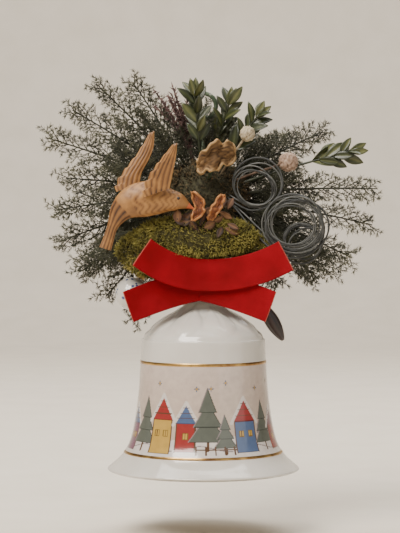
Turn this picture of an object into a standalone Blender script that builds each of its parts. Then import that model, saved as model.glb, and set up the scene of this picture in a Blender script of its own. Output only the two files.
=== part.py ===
"""A hanging Christmas bell ornament: a porcelain bell with a clapper, hung on a cord under a bouquet.

Lengths are in millimetres and are scaled by MM. Heights are measured up from the bell's lip, with
+X to the right and the front facing -Y. Every object is placed lower by the same amount, so that the
world's origin lies in the top of the hanging loop, where a hook bears.
"""

import math

import bmesh
import bpy
from mathutils import Matrix, Vector

MM = 0.001
FULL_TURN = 2 * math.pi

# Bell: a turned porcelain shell with a cast ring on its crown.
LIP_RADIUS = 37.6
WALL = 2.4
SHELL_SEGMENTS = 40
BORE_RADIUS = 1.3
BOSS_RADIUS = 5.6
BOSS_TOP = 70.5
CROWN_RING_Z = 73.0
CROWN_RING_RADIUS = 5.0
CROWN_WIRE = 1.4
OUTER_PROFILE = [
    (LIP_RADIUS - 1.8, 0.0),
    (LIP_RADIUS, 0.9),
    (36.2, 2.4),
    (33.2, 5.0),
    (30.6, 8.2),
    (28.4, 13.0),
    (26.6, 21.5),
    (25.3, 32.0),
    (24.6, 43.0),
    (24.2, 51.0),
    (23.6, 52.0),
    (22.4, 54.6),
    (19.8, 57.6),
    (16.0, 60.4),
    (11.4, 62.9),
    (8.0, 65.2),
    (BOSS_RADIUS, 67.6),
    (BOSS_RADIUS - 0.2, BOSS_TOP - 0.4),
    (BOSS_RADIUS - 0.7, BOSS_TOP),
]
INNER_PROFILE = [
    (4.0, 61.4),
    (9.0, 60.2),
    (14.4, 57.8),
    (18.4, 55.0),
    (21.0, 51.6),
    (21.9, 48.0),
    (22.3, 40.0),
    (23.2, 28.0),
    (24.8, 18.0),
    (27.4, 10.0),
    (31.2, 4.4),
    (33.0, 1.8),
    (33.8, 0.0),
]

# Clapper: a ball on a wire that hooks into the eye of a turning pin.
PIN_HEAD_RADIUS = 2.0
PIN_HEAD_HEIGHT = 1.7
PIN_RADIUS = 0.8
PIN_EYE_RADIUS = 2.4
PIN_EYE_WIRE = 0.55
CLAPPER_PIVOT_Z = 54.0
HOOK_RADIUS = 2.2
HOOK_WIRE = 0.5
ROD_RADIUS = 0.6
BALL_RADIUS = 7.0
BALL_Z = 15.5
COLLAR_RADIUS = 1.9
CLEARANCE = 0.3

# Cord loop and the wire that carries everything.
CORD_RADIUS = 0.8
WIRE_RADIUS = 0.9
HOOK_EYE_BAR_Z = 88.0
HOOK_EYE_RADIUS = 3.2
HANG_Z = 147.0
HANG_LOOP_RADIUS = 5.0
HANG_Y = 3.0
HANG_POINT = Vector((0.0, HANG_Y, HANG_Z))
LIP_CENTRE = Vector((0.0, 0.0, 0.0))
CORD_PIVOT = Vector((0.0, 0.0, HOOK_EYE_BAR_Z))
BELL_PIVOT = Vector((0.0, 0.0, CROWN_RING_Z + CROWN_RING_RADIUS))
CLAPPER_PIVOT = Vector((0.0, 0.0, CLAPPER_PIVOT_Z))

# Core: the foam ball that every stem is pushed into.
CORE_CENTRE = Vector((0.0, 5.0, 108.0))
CORE_RADII = Vector((17.0, 11.0, 12.5))
STEM_RADIUS = 0.7
STEM_DEPTH = 5.0
THIN_WIRE = 0.45

# Bow: two ribbons that cross in front of the crown, glued to a card that is wired to the core.
RIBBON_WIDTH = 12.4
RIBBON_THICKNESS = 0.7
LOWER_RIBBON_Y = -12.6
UPPER_RIBBON_Y = -14.3
BOW_CARD_Y = -11.05
BOW_WIRE_Y = -9.7

# Each sprig: direction in the front view in degrees from +X, length from the core's centre, the
# depths (y) of its root and tip, and the half-width of its foliage.
JUNIPER = {
    "juniper_sprig_01": (160.0, 65.0, 2.0, -4.0, 4.6),
    "juniper_sprig_02": (147.0, 62.0, 8.0, 12.0, 4.6),
    "juniper_sprig_03": (134.0, 60.0, 1.0, -3.0, 4.6),
    "juniper_sprig_04": (122.0, 53.0, 9.0, 13.0, 4.2),
    "juniper_sprig_05": (173.0, 55.0, 9.0, 14.0, 4.6),
    "juniper_sprig_06": (186.0, 58.0, 1.0, -7.0, 4.8),
    "juniper_sprig_07": (198.0, 60.0, 9.0, 8.0, 4.8),
    "juniper_sprig_08": (212.0, 57.0, 2.0, -2.0, 4.6),
    "juniper_sprig_09": (226.0, 56.0, 9.0, 16.0, 4.4),
    "juniper_sprig_10": (241.0, 58.0, 10.0, 27.0, 4.0),
    "juniper_sprig_11": (28.0, 54.0, 9.0, 14.0, 4.4),
    "juniper_sprig_12": (2.0, 68.0, 2.0, -3.0, 4.8),
    "juniper_sprig_13": (-10.0, 68.0, 9.0, 10.0, 4.8),
    "juniper_sprig_14": (-23.0, 63.0, 2.0, -4.0, 4.6),
    "juniper_sprig_15": (-36.0, 57.0, 9.0, 13.0, 4.4),
    "juniper_sprig_16": (-49.0, 48.0, 10.0, 26.0, 3.6),
    "juniper_sprig_17": (150.0, 42.0, 13.0, 31.0, 4.4),
    "juniper_sprig_18": (90.0, 36.0, 13.0, 30.0, 4.4),
    "juniper_sprig_19": (34.0, 42.0, 13.0, 32.0, 4.4),
    "juniper_sprig_20": (208.0, 42.0, 13.0, 32.0, 4.4),
    "juniper_sprig_21": (-26.0, 42.0, 13.0, 33.0, 4.4),
}
BOXWOOD = {
    "boxwood_sprig_1": (95.0, 44.0, -3.0, -9.0, 4.2),
    "boxwood_sprig_2": (74.0, 42.0, 4.0, -1.0, 4.2),
    "boxwood_sprig_3": (55.0, 42.0, -1.0, -5.0, 4.2),
}
LONG_BOXWOOD = {"boxwood_sprig_4": (16.0, 68.0, 4.0, 1.0, 3.6)}
HEATHER = {"heather_sprig": (107.0, 43.0, 5.0, 6.0, 3.8)}
POD_PATH = (Vector((2.5, 8.0, 100.5)), Vector((14.5, 10.5, 80.0)), Vector((32.0, 19.5, 50.0)))

# Each vine coil: centre in the front view, radius, turns, first depth, and its end in the core.
VINES = {
    "vine_coil_1": ((20.5, 110.8), 11.0, 1.9, -7.5, Vector((6, -1, 110))),
    "vine_coil_2": ((35.0, 96.4), 13.0, 2.9, -12.0, Vector((8, -1, 105.8))),
    "vine_coil_3": ((38.0, 90.0), 8.5, 1.9, -6.5, Vector((5, -1.5, 101.5))),
}
VINE_RADIUS = 0.5
VINE_PITCH = 1.5

# Seed balls: centre, radius, and the inner end of the stalk.
SEED_BALLS = {
    "pink_seed_ball": (Vector((33, -6.5, 120.7)), 3.8, Vector((8, -1, 112))),
    "cream_seed_ball": (Vector((17, -9, 131.5)), 3.0, Vector((5.5, -1.5, 114))),
}
BAUBLE_CENTRE = Vector((-28.0, -1.0, 69.4))
BAUBLE_RADIUS = 6.5
BAUBLE_WIRE_END = Vector((-10.5, -1.0, 103.5))

# Dove: stations along its body as (x, z, half-height, half-depth), from tail to beak.
DOVE_Y = -17.0
DOVE_STATIONS = [
    (-37.6, 87.2, 2.4, 0.7),
    (-36.2, 91.4, 2.1, 0.8),
    (-34.6, 96.2, 2.2, 1.3),
    (-31.6, 101.6, 4.4, 2.6),
    (-27.2, 105.0, 6.2, 3.9),
    (-21.6, 106.4, 6.8, 4.6),
    (-16.4, 106.3, 5.8, 4.2),
    (-12.4, 105.8, 4.2, 3.5),
    (-9.4, 105.3, 3.3, 2.9),
    (-6.8, 104.2, 1.8, 1.7),
    (-5.1, 103.3, 0.8, 0.8),
    (-3.6, 102.4, 0.3, 0.3),
]
# Wings: outline stations as (x, z, half-width), root first, with the depth of root and tip.
FRONT_WING = ([(-18.0, 108.5, 5.2), (-17.2, 113.5, 5.4), (-15.2, 118.5, 4.4), (-13.0, 122.8, 2.8),
               (-10.8, 127.2, 0.9)], -22.6, -25.5)
BACK_WING = ([(-29.4, 110.5, 4.8), (-28.4, 115.0, 4.8), (-25.4, 120.0, 4.4), (-22.2, 125.4, 3.0),
              (-19.8, 132.2, 0.9)], -12.5, -11.5)
WING_THICKNESS = 1.0


def material(name, color, roughness, metallic=0.0):
    """A Principled material with one plain colour."""
    made = bpy.data.materials.new(name)
    made.use_nodes = True
    shader = made.node_tree.nodes["Principled BSDF"]
    shader.inputs["Base Color"].default_value = (*color, 1.0)
    shader.inputs["Roughness"].default_value = roughness
    shader.inputs["Metallic"].default_value = metallic
    return made


def finish(name, mesh, finish_material, origin=LIP_CENTRE):
    """Links a mesh as a named, smooth object whose origin is at `origin`."""
    mesh.materials.append(finish_material)
    made = place(name, mesh, origin)
    smooth_again(made)
    return made


def place(name, mesh, origin=LIP_CENTRE):
    """Links a mesh built round the bell's lip, and puts the hanging point at the world's origin."""
    mesh.transform(Matrix.Translation(-origin * MM))
    made = bpy.data.objects.new(name, mesh)
    made.location = (origin - HANG_POINT) * MM
    bpy.context.scene.collection.objects.link(made)
    return made


def mesh_of(bm, name):
    """A mesh from a bmesh built in millimetres, with its normals facing out."""
    bmesh.ops.scale(bm, vec=(MM, MM, MM), verts=bm.verts)
    bmesh.ops.recalc_face_normals(bm, faces=bm.faces)
    mesh = bpy.data.meshes.new(name)
    bm.to_mesh(mesh)
    bm.free()
    return mesh


def spin_profile(bm, profile, segments, closed=True):
    """Spins a profile of (radius, height) once round +Z. An open one has both ends on the axis."""
    verts = [bm.verts.new((radius, 0.0, height)) for radius, height in profile]
    last = len(verts) if closed else len(verts) - 1
    edges = [bm.edges.new((verts[i], verts[(i + 1) % len(verts)])) for i in range(last)]
    bmesh.ops.spin(
        bm, geom=verts + edges, cent=(0, 0, 0), axis=(0, 0, 1), angle=FULL_TURN, steps=segments
    )
    bmesh.ops.remove_doubles(bm, verts=bm.verts, dist=1e-4)


def skin_rings(bm, rings, closed=False):
    """Joins rings of points, each with the same count, and caps the ends of an open row."""
    rows = [[bm.verts.new(point) for point in ring] for ring in rings]
    sides = len(rows[0])
    for i in range(len(rows) if closed else len(rows) - 1):
        low, high = rows[i], rows[(i + 1) % len(rows)]
        for k in range(sides):
            bm.faces.new((low[k], low[(k + 1) % sides], high[(k + 1) % sides], high[k]))
    if not closed:
        bm.faces.new(rows[0][::-1])
        bm.faces.new(rows[-1])


def add_tube(bm, points, radius, sides=8, closed=False):
    """A round tube along points that stay near one plane, so its frame needs no twist."""
    count = len(points)
    tangents = []
    for i in range(count):
        before = points[(i - 1) % count] if closed or i else points[0]
        after = points[(i + 1) % count] if closed or i < count - 1 else points[-1]
        tangents.append((after - before).normalized())
    side = tangents[0].orthogonal().normalized()
    rings = []
    for point, tangent in zip(points, tangents):
        side = (side - tangent * side.dot(tangent)).normalized()
        up = tangent.cross(side)
        rings.append(
            [
                point + side * radius * math.cos(a) + up * radius * math.sin(a)
                for a in (FULL_TURN * k / sides for k in range(sides))
            ]
        )
    skin_rings(bm, rings, closed)


def circle(centre, radius, across, up, steps, start=0.0, turn=FULL_TURN):
    """Points round a circle that starts along `across` and turns towards `up`."""
    return [
        centre + (across * math.cos(a) + up * math.sin(a)) * radius
        for a in (start + turn * k / steps for k in range(steps))
    ]


def union(target, other):
    """Joins one closed mesh object to another and removes the other."""
    combine(target, other, "UNION")


def cut(target, other):
    """Takes one closed mesh object away from another and removes the cutter."""
    combine(target, other, "DIFFERENCE")


def combine(target, other, operation):
    """Applies one Boolean of two objects and stores the result in the target."""
    modifier = target.modifiers.new("combine", "BOOLEAN")
    modifier.object = other
    modifier.operation = operation
    bpy.context.view_layer.update()
    graph = bpy.context.evaluated_depsgraph_get()
    result = bpy.data.meshes.new_from_object(target.evaluated_get(graph))
    target.modifiers.clear()
    target.data = result
    bpy.data.objects.remove(other)


def loose(name, bm):
    """A temporary object to be joined or cut."""
    return place(name, mesh_of(bm, name))


def smooth_again(target):
    """Shades a mesh that Booleans have changed."""
    target.data.shade_smooth()
    target.data.set_sharp_from_angle(angle=math.radians(40))


def cylinder(bm, foot, top, radius, sides=10):
    """A closed cylinder between two points."""
    axis = top - foot
    turn = axis.to_track_quat("Z", "Y").to_matrix().to_4x4()
    place = Matrix.Translation((foot + top) / 2) @ turn
    bmesh.ops.create_cone(
        bm,
        cap_ends=True,
        segments=sides,
        radius1=radius,
        radius2=radius,
        depth=axis.length,
        matrix=place,
    )


def ellipsoid(bm, centre, radii, segments=16, rings=10):
    """A closed ellipsoid."""
    place = Matrix.Translation(centre) @ Matrix.Diagonal((*radii, 1.0))
    bmesh.ops.create_uvsphere(bm, u_segments=segments, v_segments=rings, radius=1.0, matrix=place)


def build_bell(porcelain):
    """The shell is turned, then takes its crown ring and the bore for the clapper's pin."""
    bm = bmesh.new()
    axis_ends = [(0.0, BOSS_TOP), (0.0, INNER_PROFILE[0][1])]
    profile = [axis_ends[0]] + OUTER_PROFILE[::-1] + INNER_PROFILE[::-1] + [axis_ends[1]]
    spin_profile(bm, profile, SHELL_SEGMENTS, closed=False)
    shell = finish("bell_shell", mesh_of(bm, "bell_shell"), porcelain, BELL_PIVOT)
    bm = bmesh.new()
    centre = Vector((0, 0, CROWN_RING_Z))
    ring = circle(centre, CROWN_RING_RADIUS, Vector((1, 0, 0)), Vector((0, 0, 1)), 20)
    add_tube(bm, ring, CROWN_WIRE, closed=True)
    union(shell, loose("crown_ring", bm))
    bm = bmesh.new()
    cylinder(bm, Vector((0, 0, 55)), Vector((0, 0, BOSS_TOP + 1)), BORE_RADIUS, 16)
    cut(shell, loose("bore_cutter", bm))
    smooth_again(shell)


def build_pin(brass):
    """A headed pin that turns in the crown's bore and ends in an eye for the clapper."""
    bm = bmesh.new()
    eye_centre = Vector((0, 0, CLAPPER_PIVOT_Z + PIN_EYE_RADIUS))
    eye = circle(eye_centre, PIN_EYE_RADIUS, Vector((1, 0, 0)), Vector((0, 0, 1)), 16)
    add_tube(bm, eye, PIN_EYE_WIRE, closed=True)
    pin = finish("clapper_pin", mesh_of(bm, "clapper_pin"), brass, CLAPPER_PIVOT)
    bm = bmesh.new()
    eye_top = eye_centre.z + PIN_EYE_RADIUS
    cylinder(bm, Vector((0, 0, eye_top - 0.3)), Vector((0, 0, BOSS_TOP + 1)), PIN_RADIUS)
    union(pin, loose("pin_shank", bm))
    bm = bmesh.new()
    head_foot = BOSS_TOP + CLEARANCE
    head_centre = Vector((0, 0, head_foot + PIN_HEAD_HEIGHT / 2))
    ellipsoid(bm, head_centre, (PIN_HEAD_RADIUS, PIN_HEAD_RADIUS, PIN_HEAD_HEIGHT / 2), 12, 6)
    union(pin, loose("pin_head", bm))
    smooth_again(pin)


def build_clapper(brass, wood):
    """The rod's hook passes through the pin's eye. The ball is bored for the rod, over a collar."""
    bm = bmesh.new()
    hook_top = CLAPPER_PIVOT_Z + PIN_EYE_WIRE + CLEARANCE + HOOK_WIRE
    hook_centre = Vector((0, 0, hook_top - HOOK_RADIUS))
    hook = circle(hook_centre, HOOK_RADIUS, Vector((0, 1, 0)), Vector((0, 0, 1)), 16)
    add_tube(bm, hook, HOOK_WIRE, closed=True)
    rod = finish("clapper_rod", mesh_of(bm, "clapper_rod"), brass, CLAPPER_PIVOT)
    bm = bmesh.new()
    rod_foot = BALL_Z - BALL_RADIUS - 2.6
    rod_top = hook_centre.z - HOOK_RADIUS + 0.3
    cylinder(bm, Vector((0, 0, rod_foot)), Vector((0, 0, rod_top)), ROD_RADIUS)
    union(rod, loose("rod_stem", bm))
    smooth_again(rod)

    bm = bmesh.new()
    ellipsoid(bm, Vector((0, 0, BALL_Z)), (BALL_RADIUS,) * 3, 20, 14)
    ball = finish("clapper_ball", mesh_of(bm, "clapper_ball"), wood, CLAPPER_PIVOT)
    bm = bmesh.new()
    reach = BALL_RADIUS + 2
    foot, top = Vector((0, 0, BALL_Z - reach)), Vector((0, 0, BALL_Z + reach))
    cylinder(bm, foot, top, ROD_RADIUS + CLEARANCE, 12)
    cut(ball, loose("ball_cutter", bm))
    smooth_again(ball)

    bm = bmesh.new()
    inner = ROD_RADIUS + CLEARANCE
    top_z = BALL_Z - BALL_RADIUS - CLEARANCE
    foot_z = top_z - 1.4
    profile = [
        (inner, foot_z),
        (COLLAR_RADIUS, foot_z + 0.2),
        (COLLAR_RADIUS, top_z - 0.2),
        (inner, top_z),
    ]
    spin_profile(bm, profile, 14)
    finish("clapper_collar", mesh_of(bm, "clapper_collar"), brass, CLAPPER_PIVOT)


def build_cord(red_cord):
    """A closed loop of cord, under the crown ring's top and over the bar of the wire's lower eye."""
    bar_z = CROWN_RING_Z + CROWN_RING_RADIUS
    low_bend = CROWN_WIRE + 2 * CLEARANCE + CORD_RADIUS
    high_bend = WIRE_RADIUS + CLEARANCE + CORD_RADIUS
    front, up = Vector((0, -1, 0)), Vector((0, 0, 1))
    steps = 8
    half_turn = math.pi
    top = circle(
        Vector((0, 0, HOOK_EYE_BAR_Z)), high_bend, front, up, steps + 1, 0, half_turn * 9 / 8
    )
    foot = circle(Vector((0, 0, bar_z)), low_bend, -front, -up, steps + 1, 0, half_turn * 9 / 8)
    bm = bmesh.new()
    add_tube(bm, top + foot, CORD_RADIUS, closed=True)
    finish("bell_cord", mesh_of(bm, "bell_cord"), red_cord, CORD_PIVOT)


def build_wire(steel):
    """One wire: a lower eye for the cord, a shank through the core, and the upper hanging loop."""
    right, up = Vector((1, 0, 0)), Vector((0, 0, 1))
    bm = bmesh.new()
    eye_centre = Vector((0, 0, HOOK_EYE_BAR_Z + HOOK_EYE_RADIUS))
    add_tube(bm, circle(eye_centre, HOOK_EYE_RADIUS, right, up, 18), WIRE_RADIUS, closed=True)
    wire = finish("hanging_wire", mesh_of(bm, "hanging_wire"), steel)
    bm = bmesh.new()
    loop_centre = Vector((0, HANG_Y, HANG_Z - HANG_LOOP_RADIUS + WIRE_RADIUS))
    add_tube(bm, circle(loop_centre, HANG_LOOP_RADIUS, right, up, 18), WIRE_RADIUS, closed=True)
    union(wire, loose("upper_loop", bm))
    bm = bmesh.new()
    foot = Vector((0, 0, eye_centre.z + HOOK_EYE_RADIUS - 0.4))
    top = Vector((0, HANG_Y, loop_centre.z - HANG_LOOP_RADIUS + 0.4))
    middle = [
        Vector((0, 0, CORE_CENTRE.z + CORE_RADII.z + 2)),
        Vector((0, HANG_Y * 0.8, loop_centre.z - HANG_LOOP_RADIUS - 6)),
    ]
    add_tube(bm, [foot, *middle, top], WIRE_RADIUS)
    union(wire, loose("shank", bm))
    smooth_again(wire)


def quadratic(start, bend, end, t):
    """A point on the quadratic curve that `bend` pulls."""
    return start * (1 - t) ** 2 + bend * 2 * t * (1 - t) + end * t * t


def sprig_path(angle, length, root_y, tip_y):
    """Start, pull and end of a sprig's centreline. It starts a stem's depth inside the core."""
    turn = math.radians(angle)
    out = Vector((math.cos(turn), 0, math.sin(turn)))
    depth = (root_y - CORE_CENTRE.y) / CORE_RADII.y
    rim = math.sqrt(1 - depth * depth)
    surface = rim / math.hypot(out.x / CORE_RADII.x, out.z / CORE_RADII.z)
    centre = Vector((CORE_CENTRE.x, root_y, CORE_CENTRE.z))
    start = centre + out * (surface - STEM_DEPTH)
    end = Vector((CORE_CENTRE.x, tip_y, CORE_CENTRE.z)) + out * length
    bend = centre.lerp(end, 0.55)
    bend.y = root_y
    bend.z += 2.0
    return start, bend, end


def add_spindle(bm, path, half_width, half_depth, bare=0.25, sides=8, steps=8):
    """A flattened spindle round the path: a bare stem that opens into foliage and closes again."""
    start, bend, end = path
    facing = Vector((0, -1, 0))
    rings = []
    for i in range(steps + 1):
        t = i / steps
        ahead = quadratic(start, bend, end, min(1, t + 0.01))
        behind = quadratic(start, bend, end, max(0, t - 0.01))
        along = (ahead - behind).normalized()
        across = along.cross(facing).normalized()
        through = across.cross(along)
        foliage_share = max(0.0, (t - bare) / (1 - bare))
        open_share = max(0.0, math.sin(math.pi * foliage_share)) ** 0.8
        wide = STEM_RADIUS + (half_width - STEM_RADIUS) * open_share
        deep = STEM_RADIUS + (half_depth - STEM_RADIUS) * open_share
        point = quadratic(start, bend, end, t)
        rings.append(
            [
                point + across * wide * math.cos(a) + through * deep * math.sin(a)
                for a in (FULL_TURN * k / sides for k in range(sides))
            ]
        )
    skin_rings(bm, rings)


def build_sprigs(sprigs, foliage, half_depth, bare, holes):
    """One node for each sprig, and the hole that its stem needs in the core."""
    for name, (angle, length, root_y, tip_y, half_width) in sprigs.items():
        path = sprig_path(angle, length, root_y, tip_y)
        bm = bmesh.new()
        add_spindle(bm, path, half_width, half_depth, bare)
        finish(name, mesh_of(bm, name), foliage)
        add_hole(holes, quadratic(*path, 0.0), quadratic(*path, 0.22), STEM_RADIUS)


def add_hole(holes, inner_end, outer_end, radius):
    """Notes a hole for a stem: a little deeper and wider than the stem."""
    along = (outer_end - inner_end).normalized()
    holes.append((inner_end - along, outer_end, radius + CLEARANCE))


def build_core(foam, holes):
    """The foam core, with a hole for every stem and one right through for the hanging wire."""
    bm = bmesh.new()
    ellipsoid(bm, CORE_CENTRE, CORE_RADII, 20, 14)
    core = finish("foam_core", mesh_of(bm, "foam_core"), foam)
    for foot, top, radius in holes:
        bm = bmesh.new()
        cylinder(bm, foot, top, radius, 8)
        cut(core, loose("stem_cutter", bm))
    smooth_again(core)


def build_moss(moss):
    """A moss pad glued on the core's front and another on its back."""
    pads = {
        "moss_front": (Vector((-3, -11.6, 91.5)), Vector((25, 5.2, 8.5))),
        "moss_back": (Vector((0, 21.0, 106)), Vector((11, 4, 9))),
    }
    for name, (centre, radii) in pads.items():
        bm = bmesh.new()
        ellipsoid(bm, centre, radii, 18, 12)
        finish(name, mesh_of(bm, name), moss)


def build_strip(name, line, width, thickness, strip_material, steps=16):
    """A strip of even width along `line`, a function from -1..1 to (point, width direction)."""
    rings = []
    for i in range(steps + 1):
        t = -1 + 2 * i / steps
        point, across = line(t)
        ahead, _ = line(t + 0.01)
        behind, _ = line(t - 0.01)
        along = (ahead - behind).normalized()
        across = (across - along * across.dot(along)).normalized()
        through = along.cross(across)
        half = across * width / 2
        thick = through * thickness / 2
        corners = [(-1, -1), (1, -1), (1, 1), (-1, 1)]
        rings.append([point + half * side + thick * face for side, face in corners])
    bm = bmesh.new()
    skin_rings(bm, rings)
    return finish(name, mesh_of(bm, name), strip_material)


def upper_line(t):
    """The upper ribbon sags in the middle, and both ends lift and come forward over the moss."""
    reach, lift = (29.7, 7.7) if t > 0 else (25.7, 9.1)
    x = 2.0 + reach * t
    z = 77.0 + lift * abs(t) ** 2.2
    return Vector((x, UPPER_RIBBON_Y - 5.5 * abs(t) ** 1.8, z)), Vector((0, 0, 1))


def lower_line(t):
    """The lower ribbon arches over the crown and drops in front of the bell's shoulders."""
    x = -1.5 + 27.5 * t
    z = 73.2 - 8.3 * abs(t) ** 1.3
    return Vector((x, LOWER_RIBBON_Y - 4.5 * abs(t) ** 2.2, z)), Vector((0, 0, 1))


def build_bow(ribbon, card, steel, holes):
    """Two ribbons, the card behind them, and the wire that ties the card up to the core."""
    build_strip("bow_upper_ribbon", upper_line, RIBBON_WIDTH, RIBBON_THICKNESS, ribbon, 24)
    build_strip("bow_lower_ribbon", lower_line, RIBBON_WIDTH, RIBBON_THICKNESS, ribbon, 24)
    bm = bmesh.new()
    place = Matrix.Translation((0, BOW_CARD_Y, 74)) @ Matrix.Diagonal((18, 1.2, 11, 1))
    bmesh.ops.create_cube(bm, size=1.0, matrix=place)
    finish("bow_card", mesh_of(bm, "bow_card"), card)
    leg = [Vector((7, BOW_WIRE_Y, 76)), Vector((7, -7, 84)), Vector((7, -2, 94)), Vector((7, 2, 102))]
    mirrored = [Vector((-point.x, point.y, point.z)) for point in leg]
    bm = bmesh.new()
    add_tube(bm, leg[::-1] + mirrored, THIN_WIRE, 6)
    finish("bow_wire", mesh_of(bm, "bow_wire"), steel)
    add_hole(holes, leg[3], leg[2], THIN_WIRE)
    add_hole(holes, mirrored[3], mirrored[2], THIN_WIRE)


def build_vines(vine, holes):
    """Each vine is one length that leaves the core and winds into an open coil."""
    for name, (centre, radius, turns, first_y, inner_end) in VINES.items():
        start = math.atan2(inner_end.z - centre[1], inner_end.x - centre[0])
        steps = round(14 * turns)
        points = [inner_end]
        for k in range(steps + 1):
            angle = start + FULL_TURN * turns * k / steps
            x = centre[0] + radius * math.cos(angle)
            z = centre[1] + radius * math.sin(angle)
            points.append(Vector((x, first_y - VINE_PITCH * turns * k / steps, z)))
        bm = bmesh.new()
        add_tube(bm, points, VINE_RADIUS, 5)
        finish(name, mesh_of(bm, name), vine)
        add_hole(holes, points[0], points[0].lerp(points[1], 0.9), VINE_RADIUS)


def build_seed_balls(pink, cream, holes):
    """Two dried seed balls, each on its own thin stalk."""
    for name, (centre, radius, inner_end) in SEED_BALLS.items():
        bm = bmesh.new()
        ellipsoid(bm, centre, (radius,) * 3, 14, 10)
        ball_material = pink if name.startswith("pink") else cream
        ball = finish(name, mesh_of(bm, name), ball_material)
        bm = bmesh.new()
        stalk_end = inner_end.lerp(centre, 0.95)
        cylinder(bm, inner_end, stalk_end, THIN_WIRE, 8)
        union(ball, loose("stalk", bm))
        smooth_again(ball)
        add_hole(holes, inner_end, inner_end.lerp(centre, 0.5), THIN_WIRE)


def build_bauble(porcelain, brass, steel, holes):
    """A small porcelain ball on a wire, with a brass cap over the hole."""
    along = (BAUBLE_WIRE_END - BAUBLE_CENTRE).normalized()
    rim = BAUBLE_CENTRE + along * BAUBLE_RADIUS
    wire_foot = rim - along * 3
    bm = bmesh.new()
    cylinder(bm, wire_foot, BAUBLE_WIRE_END, THIN_WIRE, 8)
    finish("bauble_wire", mesh_of(bm, "bauble_wire"), steel)
    bm = bmesh.new()
    ellipsoid(bm, BAUBLE_CENTRE, (BAUBLE_RADIUS,) * 3, 18, 12)
    ball = finish("bauble", mesh_of(bm, "bauble"), porcelain)
    bm = bmesh.new()
    cylinder(bm, wire_foot - along * CLEARANCE, rim + along, THIN_WIRE + CLEARANCE, 8)
    cut(ball, loose("bauble_cutter", bm))
    smooth_again(ball)
    bm = bmesh.new()
    cylinder(bm, rim + along * 0.3, rim + along * 2.6, 1.9, 12)
    cap = finish("bauble_cap", mesh_of(bm, "bauble_cap"), brass)
    bm = bmesh.new()
    cylinder(bm, rim, rim + along * 4, THIN_WIRE + CLEARANCE, 8)
    cut(cap, loose("cap_cutter", bm))
    smooth_again(cap)
    add_hole(holes, BAUBLE_WIRE_END, BAUBLE_WIRE_END - along * 9, THIN_WIRE)


def build_dove(carved_wood, steel, holes):
    """A carved dove: body with tail, head and beak, two raised wings, and the pick behind it."""
    rings = []
    for i, (x, z, half_height, half_depth) in enumerate(DOVE_STATIONS):
        before = DOVE_STATIONS[max(0, i - 1)]
        after = DOVE_STATIONS[min(len(DOVE_STATIONS) - 1, i + 1)]
        along = Vector((after[0] - before[0], 0, after[1] - before[1])).normalized()
        across = Vector((-along.z, 0, along.x))
        centre = Vector((x, DOVE_Y, z))
        rings.append(
            [
                centre + across * half_height * math.cos(a) + Vector((0, half_depth * math.sin(a), 0))
                for a in (FULL_TURN * k / 12 for k in range(12))
            ]
        )
    bm = bmesh.new()
    skin_rings(bm, rings)
    body = finish("dove_body", mesh_of(bm, "dove_body"), carved_wood)
    pick_front = Vector((-15, DOVE_Y + 1, 105))
    pick_end = Vector((-7, 0, 107))
    bm = bmesh.new()
    cylinder(bm, pick_front, pick_end, STEM_RADIUS, 8)
    finish("dove_pick", mesh_of(bm, "dove_pick"), steel)
    along = (pick_end - pick_front).normalized()
    bm = bmesh.new()
    cylinder(bm, pick_front - along * CLEARANCE, pick_end, STEM_RADIUS + CLEARANCE, 8)
    cut(body, loose("dove_cutter", bm))
    smooth_again(body)
    add_hole(holes, pick_end, pick_front.lerp(pick_end, 0.3), STEM_RADIUS)
    for name, (stations, root_y, tip_y) in {
        "dove_front_wing": FRONT_WING,
        "dove_back_wing": BACK_WING,
    }.items():
        rings = []
        for i, (x, z, half_width) in enumerate(stations):
            share = i / (len(stations) - 1)
            centre = Vector((x, root_y + (tip_y - root_y) * share, z))
            across = Vector((half_width, 0, half_width * 0.35))
            deep = Vector((0, WING_THICKNESS / 2, 0))
            rings.append([centre - across, centre - deep, centre + across, centre + deep])
        bm = bmesh.new()
        skin_rings(bm, rings)
        finish(name, mesh_of(bm, name), carved_wood)


def bark_line(t):
    """The bark bulges forward in the middle."""
    point = Vector((5 + 7.5 * t, -13.5 + 4.0 * t * t, 123 + 2.5 * t - 1.5 * t * t))
    return point, Vector((0, -0.35, 1))


def first_peel_line(t):
    """The first peel hooks up and over to the left."""
    return Vector((-1.5 - 2.6 * t * t, -20.0 - 2.0 * t, 103.5 + 5.5 * t)), Vector((1, -0.4, 0))


def second_peel_line(t):
    """The second peel leans to the right of the first."""
    return Vector((5.0 + 2.5 * t, -18.5 + 2.0 * t * t, 103 + 5.0 * t)), Vector((1, 0.4, 0))


def build_bark_and_peels(bark, peel, steel, holes):
    """A curl of bark on a pick, and two curls of dried peel glued on the moss."""
    build_strip("bark_curl", bark_line, 11.0, 1.2, bark)
    build_strip("orange_peel_1", first_peel_line, 4.4, 1.0, peel, 10)
    build_strip("orange_peel_2", second_peel_line, 4.0, 1.0, peel, 10)
    inner_end, outer_end = Vector((1, -1.5, 112)), Vector((4.5, -11.3, 121))
    bm = bmesh.new()
    cylinder(bm, inner_end, outer_end, STEM_RADIUS, 8)
    finish("bark_pick", mesh_of(bm, "bark_pick"), steel)
    add_hole(holes, inner_end, inner_end.lerp(outer_end, 0.7), STEM_RADIUS)


def build_pod(pod, holes):
    """A dark seed pod on its own long stem."""
    bm = bmesh.new()
    add_spindle(bm, POD_PATH, 3.1, 2.6, 0.74, 8, 16)
    finish("seed_pod", mesh_of(bm, "seed_pod"), pod)
    add_hole(holes, quadratic(*POD_PATH, 0.0), quadratic(*POD_PATH, 0.3), STEM_RADIUS)


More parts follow.
